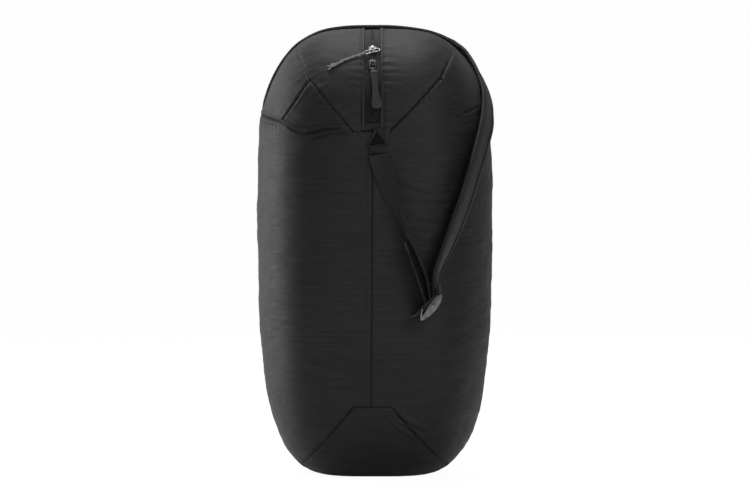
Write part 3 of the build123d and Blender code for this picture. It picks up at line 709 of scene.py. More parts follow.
# (material, slot, outline)
PANELS = {
    "top_left_panel": (SHELL, "shell_fabric", [
        TIP_L, CORNER_L, SHOULDER_L, CREST_L, (ZIP_L, 560), (ZIP_L, TIP_Z)]),
    "top_right_panel": (SHELL, "shell_fabric", [
        (ZIP_R, TIP_Z), (ZIP_R, 560), CREST_R, SHOULDER_R, CORNER_R, TIP_R]),
    "left_shoulder_gusset": (GUSSET, "gusset_fabric", [
        CORNER_L, NOTCH_L, FLANK_L, (-200, 560), CREST_L, SHOULDER_L]),
    "right_shoulder_gusset": (GUSSET, "gusset_fabric", [
        CORNER_R, SHOULDER_R, CREST_R, (200, 560), FLANK_R, NOTCH_R]),
    "left_body_panel": (SHELL, "shell_fabric", [
        (ZIP_X, TIP_Z), TIP_L, CORNER_L, NOTCH_L, FLANK_L, (-200, -60),
        FOOT_L, SLOPE_L, PEAK_L, CENTRE_LOW]),
    "right_body_panel": (SHELL, "shell_fabric", [
        (ZIP_X, TIP_Z), CENTRE_LOW, PEAK_R, SLOPE_R, FOOT_R, (200, -60),
        FLANK_R, NOTCH_R, CORNER_R, TIP_R]),
    "base_panel": (BASE, "base_fabric", [PEAK_L, SLOPE_L, FOOT_L, FOOT_R, SLOPE_R, PEAK_R]),
}


def seam_segment(p, q, side, step=1.5):
    """Surface points along the straight seam p-q on the front (side -1) or back (1)."""
    n = max(2, int(math.hypot(q[0] - p[0], q[1] - p[1]) / step) + 1)
    x, z = np.linspace(p[0], q[0], n), np.linspace(p[1], q[1], n)
    limit = np.interp(z - AXIS_Z, CURVE[:, 1], CURVE[:, 0]) * body_scale(z)
    keep = (np.abs(x) <= limit + 0.01) & (z >= 0) & (z <= 535)
    x, z = x[keep], z[keep]
    return np.stack([x, side * half_depth(x, z), z], 1)


def seam_points(name, side):
    corners = SEAMS[name]
    if name.startswith("zip"):
        return over_dome(corners[0][0], -side * np.linspace(0, 88.3, 200), 0.0)
    return np.vstack([seam_segment(p, q, side) for p, q in zip(corners, corners[1:])])


# ---------------------------------------------------------------- sack skin: grid cut along the seams
def skin_grid():
    """Grid over the whole surface, finer across near the zip. UVs are the runs in metres."""
    step_across = 1.9
    step_down = 1.7
    width = 2 * CURVE_LEN
    coarse = np.arange(-CURVE_LEN, CURVE_LEN + 0.01, width / round(width / step_across))
    columns = [c for c in coarse if abs(c - ZIP_X) > 25]
    columns += [ZIP_X + d for d in np.arange(-24, 24.1, 1.2)]
    columns = np.array(sorted({round(float(c), 4) for c in columns}))
    reach = QUARTER + AXIS_Z + FLOOR_HALF_W
    rows = np.linspace(-reach, reach, 2 * int(round(reach / step_down)) + 1)
    across, down = np.meshgrid(columns, rows)
    uvs = np.stack([across.ravel(), down.ravel()], 1) * MM
    bm = bmesh.new()
    layer = bm.loops.layers.uv.new("UVMap")
    verts = [bm.verts.new(p) for p in surface_point(across, down).reshape(-1, 3)]
    size = len(columns)
    for i in range(len(rows) - 1):
        for j in range(i * size, (i + 1) * size - 1):
            corners = (j, j + 1, j + size + 1, j + size)
            face = bm.faces.new([verts[k] for k in corners])
            for loop, k in zip(face.loops, corners):
                loop[layer].uv = uvs[k]
    return bm, layer


def cut_along(bm, p, q):
    """Cuts the skin with the plane through the front-view segment p-q, near the segment only."""
    direction = Vector((q[0] - p[0], 0, q[1] - p[1]))
    length = direction.length
    direction.normalize()
    normal = Vector((-direction.z, 0, direction.x))
    origin = Vector((p[0], 0, p[1]))
    faces = []
    for face in bm.faces:
        offsets = [v.co - origin for v in face.verts]
        off_plane = [o.dot(normal) for o in offsets]
        if min(off_plane) < 1e-5 and max(off_plane) > -1e-5:
            place = [o.dot(direction) for o in offsets]
            if max(place) > -3 and min(place) < length + 3:
                faces.append(face)
    edges = {e for f in faces for e in f.edges}
    verts = {v for f in faces for v in f.verts}
    bmesh.ops.bisect_plane(
        bm, geom=faces + list(edges) + list(verts), dist=0.02, plane_co=origin, plane_no=normal
    )


skin, skin_uv = skin_grid()
for corners in SEAMS.values():
    for p, q in zip(corners, corners[1:]):
        cut_along(skin, p, q)
bmesh.ops.remove_doubles(skin, verts=skin.verts, dist=0.004)
skin.verts.index_update()
plain = np.array([v.co for v in skin.verts])  # vertices before the relief
face_verts = [[v.index for v in f.verts] for f in skin.faces]
face_uvs = [[tuple(loop[skin_uv].uv) for loop in f.loops] for f in skin.faces]
face_centres = np.array([plain[indices].mean(0) for indices in face_verts])
skin.free()

# ---------------------------------------------------------------- relief: puckers, creases, seams, and painted shade along them
x, y, z = plain.T
relief = np.zeros(len(plain))  # height along the surface normal
# painted shade, 0-1, laid into the cloth colour in seams, deep folds and stitch grooves where shade
# falls
seam_painted_shade = np.zeros(len(plain))  # 0-1, darkens the cloth in the seams


def seam_distances(name):
    """Distance of each vertex from a seam (99 when far away) and the seam's run beside it."""
    sides = [seam_points(name, side) for side in (-1, 1)]
    points = np.vstack(sides)
    runs = np.concatenate([run_length(sides[0]), run_length(sides[1]) + 3000])
    tree = kdtree.KDTree(len(points))
    for i, point in enumerate(points):
        tree.insert(point, i)
    tree.balance()
    near = np.all((plain > points.min(0) - 45) & (plain < points.max(0) + 45), axis=1)
    distance, along = np.full(len(plain), 99.0), np.zeros(len(plain))
    for i in np.nonzero(near)[0]:
        _, k, best = tree.find(plain[i])
        # measure to the line through the neighbours too, so the seam's own vertices get zero
        before, after = max(k - 1, 0), min(k + 1, len(points) - 1)
        start = points[before if abs(runs[k] - runs[before]) < 50 else k]
        end = points[after if abs(runs[after] - runs[k]) < 50 else k]
        span = end - start
        offset = plain[i] - start
        if span @ span > 1e-9:
            t = min(1.0, max(0.0, (offset @ span) / (span @ span)))
            best = min(best, float(np.linalg.norm(offset - t * span)))
        distance[i], along[i] = best, runs[k]
    return distance, along


def pucker(run, period, seed):
    """A wave along a seam with drifting phase and strength."""
    at = np.stack([run, 0 * run, 0 * run], 1)
    phase = noise(at, period * 3.1, seed) * 2.4
    strength = 0.6 + 0.4 * noise(at, period * 5.3, seed + 5)
    return np.sin(2 * pi * run / period + phase) * strength


def smoothstep(t):
    return t * t * (3 - 2 * t)


# paints shade into the cloth colour, keeping the darkest amount at each vertex
def paint_shade(amount):
    np.maximum(seam_painted_shade, amount, out=seam_painted_shade)


def crease(points, height, width, side=-1, ends=0.25):
    """A fold along a front-view curve: a ridge beside a valley, fading at both ends. Deep folds also
    get painted shade in their valley.
    """
    line = spline(points, 8)
    for i, (p, q) in enumerate(zip(line, line[1:])):
        dx, dz = q - p
        length = math.hypot(dx, dz)
        t = ((x - p[0]) * dx + (z - p[1]) * dz) / (length * length)
        aside = ((x - p[0]) * -dz + (z - p[1]) * dx) / length
        inside = (t >= 0) & (t < 1) & ((y < 0) == (side < 0))
        place = (i + t) / (len(line) - 1)
        fade = smoothstep(np.clip(place / ends, 0, 1) * np.clip((1 - place) / ends, 0, 1))
        ridge = np.exp(-(((aside - width) / width) ** 2))
        valley = np.exp(-(((aside + width * 0.25) / (width * 0.8)) ** 2))
        relief[:] += np.where(inside, height * (ridge - 0.9 * valley) * fade, 0)
        # painted shade in the valley of the deep folds
        if height > 3:
            shade = 0.75 * fade * np.exp(-(((aside + width * 0.3) / 1.5) ** 2))
            paint_shade(np.where(inside, shade, 0))


# broad unevenness of stuffed cloth, small near the floor
relief += np.clip(z / 30.0, 0, 1) * (
    1.5 * noise(plain, (85, 85, 60), 3, 2)
    + 0.55 * noise(plain, (34, 34, 16), 9, 2)
    + 0.16 * noise(plain, (12, 12, 5), 21)
)
# (seam, depth of the groove, its width, strength of the painted shade in it)
for name, depth, width, dark in (
    ("left_diagonal", 1.3, 0.95, 0.9), ("right_diagonal", 1.3, 0.95, 0.9),
    ("left_gusset", 1.5, 1.0, 0.9), ("right_gusset", 1.1, 0.9, 0.9),
    ("centre", 1.0, 0.9, 0.55), ("tip", 0.9, 0.9, 0.9), ("base", 1.3, 0.95, 0.9),
):
    away, run = seam_distances(name)
    seed = len(name)
    relief -= depth * np.exp(-((away / width) ** 1.6))
    # painted shade along the seam's groove
    paint_shade(dark * np.exp(-((away / 0.85) ** 2)))
    relief += 0.42 * np.exp(-(((away - 3.4) / 2.2) ** 2))
    relief += 0.5 * pucker(run, 9.5, seed) * np.exp(-away / 10.0) * np.clip(away / 2.0, 0, 1)
    relief += 0.26 * pucker(run, 5.1, seed + 11) * np.exp(-away / 4.5)
# edges of the zip opening: turned-in edge, stitch groove with painted shade, and gathers
for name in ("zip_left", "zip_right"):
    away, run = seam_distances(name)
    relief += np.where(away < 1.6, -1.6 * (1 - away / 1.6) ** 2, 0.0)
    relief -= 0.75 * np.exp(-(((away - 3.7) / 0.9) ** 2))
    # painted shade in the stitch groove beside the zip
    paint_shade(0.5 * np.exp(-(((away - 2.7) / 0.7) ** 2)))
    relief += 0.42 * pucker(run, 4.6, 17) * np.exp(-np.abs(away - 5.0) / 3.6)
    relief += 0.35 * pucker(run, 11.0, 23) * np.exp(-away / 13.0)

# creases on the front: (height, width, faded share at each end, (x, z) points)
CREASES = [
    # the heavy pull from the left gusset corner to the end of the zip, and its weaker partner
    (3.3, 1.7, 0.1, [
        (-114.5, 428.0), (-108.5, 425.4), (-101.2, 421.0), (-94.4, 417.3), (-84.4, 416.2),
        (-74.2, 418.1), (-63.2, 420.9), (-52.2, 422.1), (-33.8, 422.6)]),
    (3.05, 1.7, 0.2, [
        (-81.0, 409.2), (-70.6, 411.3), (-61.3, 415.2), (-52.2, 416.9), (-38.4, 417.6),
        (-27.4, 418.1)]),
    # beside the left and right gussets
    (1.4, 1.4, 0.2, [(-139, 425.4), (-130, 423.4), (-118, 421.6)]),
    (1.4, 1.8, 0.2, [(-142, 434), (-128, 431), (-112, 428)]),
    (1.9, 2.0, 0.25, [(128, 446), (118, 441), (106, 437), (94, 432)]),
    (1.6, 1.8, 0.25, [(130, 437), (120, 433), (106, 431)]),
    (1.2, 2.0, 0.25, [(122, 430), (108, 424), (98, 420)]),
    # below the end of the zip
    (1.0, 2.2, 0.25, [(-26, 414), (-12, 408), (0, 402)]),
    # around the base panel
    (0.9, 3.6, 0.25, [(-90, 62), (-60, 74), (-34, 84)]),
    (1.6, 3.0, 0.25, [(22, 82), (36, 70), (52, 60), (66, 56)]),
    (1.3, 2.6, 0.25, [(26, 70), (40, 60), (54, 52)]),
    (0.9, 2.8, 0.25, [(10, 76), (24, 62), (44, 48)]),
]
for height, width, ends, points in CREASES:
    crease(points, height, width, ends=ends)
# faint creases scattered over front and back
rng = np.random.RandomState(7)
for i in range(16):
    mid_x, mid_z = rng.uniform(-110, 110), rng.uniform(110, 400)
    half = rng.uniform(30, 70) / 2
    drop = half * rng.uniform(-0.35, 0.35)
    height = rng.uniform(0.25, 0.6)
    middle = (mid_x, mid_z + rng.uniform(-3, 3))
    line = [(mid_x - half, mid_z - drop), middle, (mid_x + half, mid_z + drop)]
    crease(line, height, rng.uniform(3.5, 6), side=-1 if i % 2 else 1)

# the strap holds the filling down on the top and back; beside it the right shoulder swells
hold = smoothstep(np.clip((y + 42) / 30, 0, 1) * np.clip((z - 432) / 30, 0, 1))
hold *= np.clip((112 - x) / 22, 0, 1)
swell = np.exp(-(((z - 474) / 20) ** 2)) * np.exp(-((y / 34) ** 2))
relief += 2.3 * np.clip((x - 100) / 14, 0, 1) * swell
relief = relief * (1 - 0.7 * hold) - 1.1 * hold
# flat on the floor
relief = np.where(z < 1.0, np.minimum(relief, 0.0) * 0.2 * np.clip(z, 0, 1), relief)
skin_points = plain + surface_normal(plain) * relief[:, None]
skin_points[:, 2] = np.maximum(skin_points[:, 2], 0.0)


# ---------------------------------------------------------------- cloth panels
def inside_polygon(px, pz, outline):
    inside = np.zeros(len(px), bool)
    for (x0, z0), (x1, z1) in zip(outline, outline[1:] + outline[:1]):
        crosses = (z0 > pz) != (z1 > pz)
        inside ^= crosses & (px < (x1 - x0) * (pz - z0) / (z1 - z0 + 1e-12) + x0)
    return inside


def make_panel(name, material, slot, outline):
    chosen = np.nonzero(inside_polygon(face_centres[:, 0], face_centres[:, 2], outline))[0]
    used = sorted({k for i in chosen for k in face_verts[i]})
    index = {k: i for i, k in enumerate(used)}
    faces = [tuple(index[k] for k in face_verts[i]) for i in chosen]
    mesh = bpy.data.meshes.new(name + "_skin")
    mesh.from_pydata((skin_points[used] * MM).tolist(), [], faces)
    uvs = np.array([c for i in chosen for uv in face_uvs[i] for c in uv], np.float32)
    mesh.uv_layers.new(name="UVMap").data.foreach_set("uv", uvs)
    mesh.polygons.foreach_set("use_smooth", [True] * len(mesh.polygons))
    # the painted shade goes to the cloth as the 'seam' attribute
    seam = mesh.attributes.new("seam", "FLOAT", "POINT")
    seam.data.foreach_set("value", seam_painted_shade[used].astype(np.float32))
    mesh.materials.append(material)
    mesh.update()
    ob = new_object(name + "_skin", mesh)
    fix_normals(ob)
    # an open sheet may have been turned inward
    middle = mesh.polygons[len(mesh.polygons) // 2]
    outward = surface_normal(np.array(middle.center)[None] / MM)[0]
    if outward @ np.array(middle.normal) < 0:
        mesh.flip_normals()
    register(ob, slot, name)


for name, (material, slot, outline) in PANELS.items():
    make_panel(name, material, slot, outline)

# ---------------------------------------------------------------- zip
TAPE_R, TAPE_T = 116.7, 0.9
TAPE_TOP = TAPE_R + TAPE_T
COIL_PATH_R, COIL_HALF = 115.5, 1.1
COIL_BOTTOM = COIL_PATH_R - COIL_HALF
UPPER_DEG, LOWER_DEG = 34.5, 46.5  # places of the two sliders
CROWN_R = TAPE_TOP + 1.85
BAR_R = CROWN_R + 1.35
BAR_AHEAD = 0.95  # degrees from a slider to the bar of its pull
STOP_DEG, END_TAB_DEG = 82.1, 85.65
SIDES = (("left", -1), ("right", 1))

# points across the tape from the zip's middle
TAPE_OFFSETS = np.array(
    [0.02, 0.45, 0.9, 1.3, 1.8, 2.3, 2.8, 3.2, 3.8, 5.0, 6.5, 8.0, 9.5, 11.0, 13.1]
)


def zip_tape(name, side):
    """Knitted tape: a low ribbed ridge over the coil, a groove at the middle, a flat field."""
    off = TAPE_OFFSETS
    ridge = 0.6 * np.exp(-(((off - 1.7) / 0.9) ** 2)) - 0.3 * np.exp(-((off / 0.5) ** 2))
    across = ZIP_X + side * off
    girth = np.concatenate([off, off[::-1] + 14])
    size = len(girth)
    points, uvs = [], []
    for theta in np.radians(np.arange(-90, 90.01, 0.2)):
        run = theta * DOME_R
        rib = 0.07 * sin(2 * pi * run / 1.5) * np.exp(-(((off - 1.7) / 1.2) ** 2))
        lift = 0.12 * sin(run / 6.1 + 1.3 * side) * (off / 8.0)
        radius = TAPE_TOP + ridge + rib + np.clip(lift, -0.2, 0.1)
        points += [arc_point(across, run, radius), arc_point(across, run, TAPE_R)[::-1]]
        uvs.append(np.stack([np.full(size, run), girth], 1) * MM)
    last = (len(uvs) - 1) * size
    faces = ring_faces(len(uvs), size)
    faces += [tuple(range(size)), tuple(range(last + size - 1, last - 1, -1))]
    ob = make_object(name + "_knit", np.vstack(points), faces, ZIP_TAPE, np.vstack(uvs))
    register(ob, "zip_tape", name)


def zip_coil(name, side):
    """Helix of the zip's teeth, seven points per turn."""
    pitch, per_turn = 1.5, 7
    turns = int(radians(164) * COIL_PATH_R / pitch)
    theta = np.linspace(radians(-82), radians(82), turns * per_turn + 1)
    phase = np.arange(len(theta)) * 2 * pi / per_turn
    across = ZIP_X + side * (COIL_HALF + 0.45) + 0.78 * np.cos(phase)
    centre = arc_point(across, theta * DOME_R, COIL_PATH_R + 0.72 * np.sin(phase))
    spoke = arc_normal(theta) * np.sin(phase)[:, None] + X_AXIS * np.cos(phase)[:, None]
    frames = frames_about(centre, spoke, np.arange(len(centre)) * 0.6)
    register(sweep(name + "_helix", frames, oval(0.26, 0.26, 5), COIL), "zip_coil", name)


for side_name, side in SIDES:
    zip_tape("zip_tape_" + side_name, side)
for side_name, side in SIDES:
    zip_coil("zip_coil_" + side_name, side)

stops = [
    prism("stop", round_rect(ZIP_X, 0, 4.8, 2.0, 0.6), TAPE_TOP + 0.1, TAPE_TOP + 1.6, 0.45,
          on_arc(deg), BLACK_ZINC)
    for deg in (STOP_DEG, -STOP_DEG)
]
register(join("zip_end_stops_moulded", stops), "zip_black", "zip_end_stops")


def end_tab(name, deg):
    """Slightly rippled cloth tab over one end of the zip, with a row of stitches across."""
    bottom = TAPE_TOP + 0.2
    outline = densify(round_rect(ZIP_X, 0, 19.6, 9.0, 0.8, 3), 1.2)
    cloth = prism(name + "_cloth", outline, bottom, bottom + 1.9, 0.8,
                  lambda a, b, n: arc_point(a, b, n + 0.15 * np.sin(a * 1.1), deg), BINDING)
    row = 2.6  # place of the stitches, forward of the middle
    path = arc_point(ZIP_X + np.linspace(-8.6, 8.6, 40), row, bottom + 1.95, deg)
    normal = arc_normal(np.array(radians(deg) + row / DOME_R))
    sewing = stitches(path, normal, pitch=2.4, length=1.8, radius=0.22)
    register(join(name + "_sewn", [cloth, sewing]), "seam_tape", name)


end_tab("front_zip_end_tab", END_TAB_DEG)
end_tab("back_zip_end_tab", -END_TAB_DEG)


def slider(which, deg, crown_material, slot):
    """Two shields above and below the tape, joined by a post, with side flanges and a crown."""
    put = on_arc(deg, ZIP_X)
    half = radians(3.3) * DOME_R
    right = [(3.9, half), (5.0, half - 2.2), (4.9, -half + 3.4), (3.4, -half + 0.5), (1.6, -half)]
    shield = densify(right + [(-a, b) for a, b in right[::-1]], 0.9)[::-1]
    bottom = COIL_BOTTOM
    parts = [
        prism("part", shield, TAPE_TOP + 0.3, TAPE_TOP + 1.8, 0.6, put, BLACK_ZINC),
        prism("part", shield, bottom - 1.8, bottom - 0.3, 0.5, put, BLACK_ZINC),
        prism("part", round_rect(0, 0, 0.7, 5.0, 0.3), bottom - 1.0, TAPE_TOP + 1.0, 0.15,
              put, BLACK_ZINC),
    ]
    for side in (-1, 1):
        flange = round_rect(side * 4.3, 0, 1.2, 2 * half - 0.8, 0.5)
        parts.append(prism("part", flange, bottom - 1.0, TAPE_R - 0.35, 0.4, put, BLACK_ZINC))
    rides = which + "_slider"
    register(join(f"{which}_slider_cast", parts), slot, f"{which}_slider_body", rides=rides)

    # the crown is an arch seen from the side: outer edge, then inner edge back
    steps = 16
    outer_half, inner_half = radians(2.6) * DOME_R, radians(1.75) * DOME_R
    angles = [pi * i / steps for i in range(steps + 1)]
    outer = [(outer_half * cos(a), 4.0 * sin(a) ** 0.6) for a in angles]
    inner = [(inner_half * cos(a), 2.75 * sin(a) ** 0.7) for a in angles[::-1]]
    arch = np.array(outer + inner)
    size = len(arch)
    points = []
    for across, inset in ((-1.6, 0.25), (-1.35, 0.0), (1.35, 0.0), (1.6, 0.25)):
        height = arch[:, 1] - np.where(np.arange(size) <= steps, inset, 0)
        run = arch[:, 0] * (0.96 if inset else 1.0)
        points.append(put(across, run, CROWN_R + np.maximum(0, height)))
    faces = ring_faces(4, size)
    far = 3 * size
    for j in range(steps):
        faces.append((j, size - 1 - j, size - 2 - j, j + 1))
        faces.append((far + j, far + j + 1, far + size - 2 - j, far + size - 1 - j))
    ob = make_object(f"{which}_slider_arch", np.vstack(points), faces, crown_material)
    register(ob, slot, f"{which}_slider_crown", rides=rides)


slider("upper", UPPER_DEG, BRIGHT_ZINC, "zip_metal")
slider("lower", LOWER_DEG, BLACK_ZINC, "zip_black")


# ---------------------------------------------------------------- zip pulls
def dome_axes(deg):
    """Forward and outward directions on the dome."""
    a = radians(deg)
    return np.array([0.0, -cos(a), -sin(a)]), np.array([0.0, -sin(a), cos(a)])


def wire_loop(name, centre, u_axis, v_axis, size, corner, radius, material, sides=12):
    """A closed rounded-rectangle loop of round wire."""
    outline = densify(round_rect(0, 0, *size, corner, 8), 1.0)
    points = np.array([centre + u_axis * a + v_axis * b for a, b in outline])
    along = unit(np.roll(points, -1, 0) - np.roll(points, 1, 0))
    points, along = (np.vstack([rows, rows[:1]]) for rows in (points, along))
    across = np.repeat([np.cross(u_axis, v_axis)], len(points), 0)
    frames = Frames(points, across, np.cross(across, along), along, np.arange(len(points)))
    ob = sweep(name, frames, oval(radius, radius, sides), material, capped=False)
    fix_normals(ob, weld=1e-6)
    return ob


# upper pull: turned 29 degrees to the zip's left and tilted off the dome
PULL_TILT = 0.11  # radians
upper_deg = UPPER_DEG + BAR_AHEAD
forward, outward = dome_axes(upper_deg)
upper_bar = arc_point(ZIP_X, 0.0, BAR_R, upper_deg)
turn_cos, turn_sin = cos(radians(29)), sin(radians(29))
flat_u = turn_cos * X_AXIS - turn_sin * forward
upper_v = turn_sin * X_AXIS + turn_cos * forward
upper_u = cos(PULL_TILT) * flat_u - sin(PULL_TILT) * outward
upper_n = sin(PULL_TILT) * flat_u + cos(PULL_TILT) * outward
link = wire_loop("upper_pull_wire", upper_bar - 2.15 * upper_u + 2.9 * upper_v,
                 upper_u, upper_v, (20.2, 5.1), 2.4, 0.72, BRIGHT_ZINC)
register(link, "zip_metal", "upper_pull_link", rides="upper_pull")

# two turns of cord round the link
wrap_centre = upper_bar - 12.0 * upper_u + 2.7 * upper_v
wraps = [
    wire_loop("wrap", wrap_centre + upper_v * offset, upper_u, upper_n, (3.3, 3.3), 1.6, 0.52,
              CORD, sides=8)
    for offset in (-0.55, 0.55)
]
register(join("cord_loop_wraps", wraps), "cord", "cord_loop", rides="upper_pull")

# doubled cord laid down the dome, its two plies turning round each other: (x, angle, height)
CORD_STATIONS = [
    (-17.5, 40.3, 2.2), (-21.5, 40.9, 1.9), (-26, 41.7, 1.75), (-32, 43.1, 1.65),
    (-38, 44.3, 1.6), (-43, 46.1, 1.6), (-48.5, 47.2, 1.7),
]
PLY_HALF_TURN = 7.5
cord_start = wrap_centre + upper_n * 0.4 - upper_u * 1.2
cord_path, _, cord_run = dense([cord_start] + [over_dome(*row) for row in CORD_STATIONS], 0.5)
cord_out = surface_normal(cord_path)
cord_across = unit(np.cross(cord_out, unit(np.gradient(cord_path, axis=0))))
plies = []
for phase in (0.0, pi):
    turn = phase + cord_run / PLY_HALF_TURN * pi
    centre = cord_path + cord_across * (0.86 * np.cos(turn))[:, None]
    centre += cord_out * (0.38 * np.sin(turn))[:, None]
    along = unit(np.gradient(centre, axis=0))
    across = unit(np.cross(cord_out, along))
    frames = Frames(centre, across, np.cross(along, across), along, cord_run)
    plies.append(sweep("ply", frames, oval(0.82, 0.72, 9), CORD,
                       shape=lambda run, section: section * (1 + 0.06 * sin(run * 5.2))))
register(join("cord_plies", plies), "cord", "cord_pull", rides="pull_cord")

# trefoil knot with two short cut ends
knot_at = over_dome(-50.2, 47.7, 2.0)
knot_out = surface_normal(knot_at[None])[0]
knot_along = unit(over_dome(-53, 48.4, 2) - over_dome(-47, 46.9, 2))
knot_across = np.cross(knot_out, knot_along)
t = np.linspace(0, 2 * pi, 60)
trefoil = in_frame(knot_at, knot_along, knot_across, knot_out)(
    (np.sin(t) + 2 * np.sin(2 * t)) * 0.82,
    (np.cos(t) - 2 * np.cos(2 * t)) * 0.72,
    -np.sin(3 * t) * 0.5,
)
frames = frames_about(trefoil, -(knot_out + 0.001 * knot_along), t * 3)
knot = [sweep("knot", frames, oval(0.85, 0.8, 8), CORD)]
for side, length in ((1, 5.0), (-1, 4.2)):
    # (along, across, depth below the knot's middle)
    rows = ((0, 0, 0), (2.2, 0.6, 0.2), (2.2 + length * 0.5, 1.6, 0.35), (2.2 + length, 2.9, 0.4))
    end = [knot_at + knot_along * a + knot_across * side * b - knot_out * n for a, b, n in rows]
    knot.append(tube("end", end, 0.8, CORD, sides=8, step=0.5, axis=knot_out))
register(join("cord_knot_tied", knot), "cord", "cord_knot", rides="pull_cord")

# lower pull: a wire link and a rubber grip hanging forward over the dome
lower_deg = LOWER_DEG + BAR_AHEAD
forward, outward = dome_axes(lower_deg)
lower_bar = arc_point(ZIP_X, 0.0, BAR_R, lower_deg)
lower_n = cos(PULL_TILT) * outward - sin(PULL_TILT) * forward
lower_back = np.cross(lower_n, X_AXIS)
link = wire_loop("lower_pull_wire", lower_bar - 4.25 * lower_back, X_AXIS, lower_back,
                 (6.4, 8.5), 1.2, 0.62, BLACK_ZINC)
register(link, "zip_black", "lower_pull_link", rides="lower_pull")

# (run from the bar, half width) and (run, half thickness) of the grip
GRIP_WIDTH = np.array([
    (10.3, 1.4), (10.7, 2.7), (11.6, 3.8), (13.0, 4.4), (15, 4.5), (20, 3.9), (27, 3.5),
    (36, 3.6), (45, 4.4), (51, 5.5), (55.0, 6.2), (57.5, 6.1), (59, 5.2), (60, 3.4), (60.6, 1.2),
])
GRIP_THICK = np.array([
    (10.3, 0.8), (11.0, 1.4), (13, 1.9), (20, 1.6), (40, 1.5), (54, 1.8), (58.5, 1.75),
    (60, 1.3), (60.6, 0.7),
])


def grip_shape(run, section):
    width, thick = np.interp(run, *GRIP_WIDTH.T), np.interp(run, *GRIP_THICK.T)
    shaped = section * np.array([width, thick])
    # shallow hollow down the middle of both faces, between raised rims
    dish = 0.45 * np.exp(-((section[:, 0] / 0.55) ** 4))
    dish *= np.clip((run - 11) / 4, 0, 1) * np.clip((56 - run) / 4, 0, 1)
    shaped[:, 1] -= np.sign(section[:, 1]) * dish * (np.abs(section[:, 1]) > 0.7)
    return shaped


def lower_grip():
    run = np.concatenate([
        [10.3, 10.5, 10.8, 11.2, 11.7, 12.4], np.linspace(13, 58, 80),
        [58.6, 59.2, 59.7, 60.1, 60.4, 60.6],
    ])
    sit_r = 122.2
    radius = sit_r + 6.0 * (np.maximum(0.0, run - 8.5) / 52.0) ** 2
    skewed_x = 0.0785 * (run - 33.2)
    centre = arc_point(skewed_x, 0.0, radius, lower_deg + np.degrees(run / 122.0))
    along = unit(np.gradient(centre, axis=0))
    across = unit(X_AXIS - along * along[:, :1])
    frames = Frames(centre, across, np.cross(along, across), along, run)
    section = [
        (math.copysign(abs(a) ** 0.45, a), math.copysign(abs(b) ** 0.45, b))
        for a, b in oval(1.0, 1.0, 40)
    ]
    grip = sweep("grip", frames, section, RUBBER, shape=grip_shape)
    neck = prism("neck", densify(round_rect(0, -8.6, 5.4, 4.6, 1.4, 5), 0.7), -1.35, 1.35, 0.6,
                 in_frame(lower_bar, X_AXIS, lower_back, lower_n), PULL_NECK)
    ob = join("lower_pull_grip_moulded", [grip, neck])
    register(ob, "grip_rubber", "lower_pull_grip", rides="lower_pull")


lower_grip()


# ---------------------------------------------------------------- cloth edges beside the zip
def topstitch(name, side):
    deg = np.linspace(-84, 84, 700)
    path = over_dome(ZIP_X + side * (ZIP_HALF + 3.7), deg, -0.65)
    ob = stitches(path, surface_normal(path), pitch=3.0, length=2.3, radius=0.26, sink=0.05,
                  name=name)
    register(ob, "shell_fabric")


def zip_lip(name, side):
    """Folded edge of the cloth: a soft roll, gathered, held down towards the back."""
    edge_x = ZIP_X + side * (ZIP_HALF + 0.75)
    theta = np.radians(np.arange(-87.5, 87.51, 0.3))
    run = theta * DOME_R
    wobble = 0.18 * np.sin(run / 4.7) + 0.12 * np.sin(run / 11.3 + side)
    held = np.clip((18 - np.degrees(theta)) / 25, 0, 1)
    centre = arc_point(edge_x + 0.25 * wobble, run, float(profile_r(edge_x)) - 0.5 - held)
    out = arc_normal(theta)
    along = unit(np.gradient(centre, axis=0))
    frames = Frames(centre, np.cross(along, out), out, along, run)

    def gather(run, section):
        return section * (1 + 0.09 * sin(run * 1.36) + 0.05 * sin(run * 0.53))

    # the lighter cloth of the roll is a painted highlight along the zip edge
    ob = sweep(name, frames, oval(1.3, 1.3, 14), LIP_HIGHLIGHT_NYLON, shape=gather)
    register(ob, "shell_fabric")


for side_name, side in SIDES:
    topstitch("topstitch_" + side_name, side)
for side_name, side in SIDES:
    zip_lip("zip_lip_" + side_name, side)

# ---------------------------------------------------------------- ladder lock frame and bent webbing
LOCK_C = np.array([63.6, -136.0, 211.0])
LOCK_UP = np.array([0.735, 0.0, 0.678])  # along the lock, up towards the strap
LOCK_W = unit(np.array([-0.1177, -0.9848, 0.1276]))
LOCK_N = unit(np.cross(-LOCK_UP, LOCK_W))
LOOP_BAR, TURN_BAR = 15.6, 2.0  # places of the bars along LOCK_UP
LOOP_DEG = 53.8  # direction of both legs of the webbing on the loop bar
TAIL_DEG = 66.5  # direction of the tail where it leaves the turn bar


def leg_direction(deg):
    a = radians(deg)
    return cos(a) * LOCK_UP + sin(a) * LOCK_N


def bend_points(bar, r, deg_in, deg_out, leg_in, leg_out):
    """Path of webbing round a bar: a straight leg in, the bend, a straight leg out."""
    a0, a1 = radians(deg_in), radians(deg_out)
    start = (bar + r * sin(a0), -r * cos(a0))
    end = (bar - r * sin(a1), r * cos(a1))
    rows = []
    for i in range(8):
        f = 1 - i / 8
        rows.append((start[0] + leg_in * f * cos(a0), start[1] + leg_in * f * sin(a0)))
    b0, b1 = a0 - pi / 2, a1 + pi / 2 - 2 * pi
    for i in range(19):
        b = b0 + (b1 - b0) * i / 18
        rows.append((bar + r * cos(b), r * sin(b)))
    for i in range(1, 9):
        f = i / 8
        rows.append((end[0] + leg_out * f * cos(a1), end[1] + leg_out * f * sin(a1)))
    return np.array([LOCK_C + up * LOCK_UP + out * LOCK_N for up, out in rows])


def lock_stations(points):
    return [(*point, *LOCK_W) for point in points]


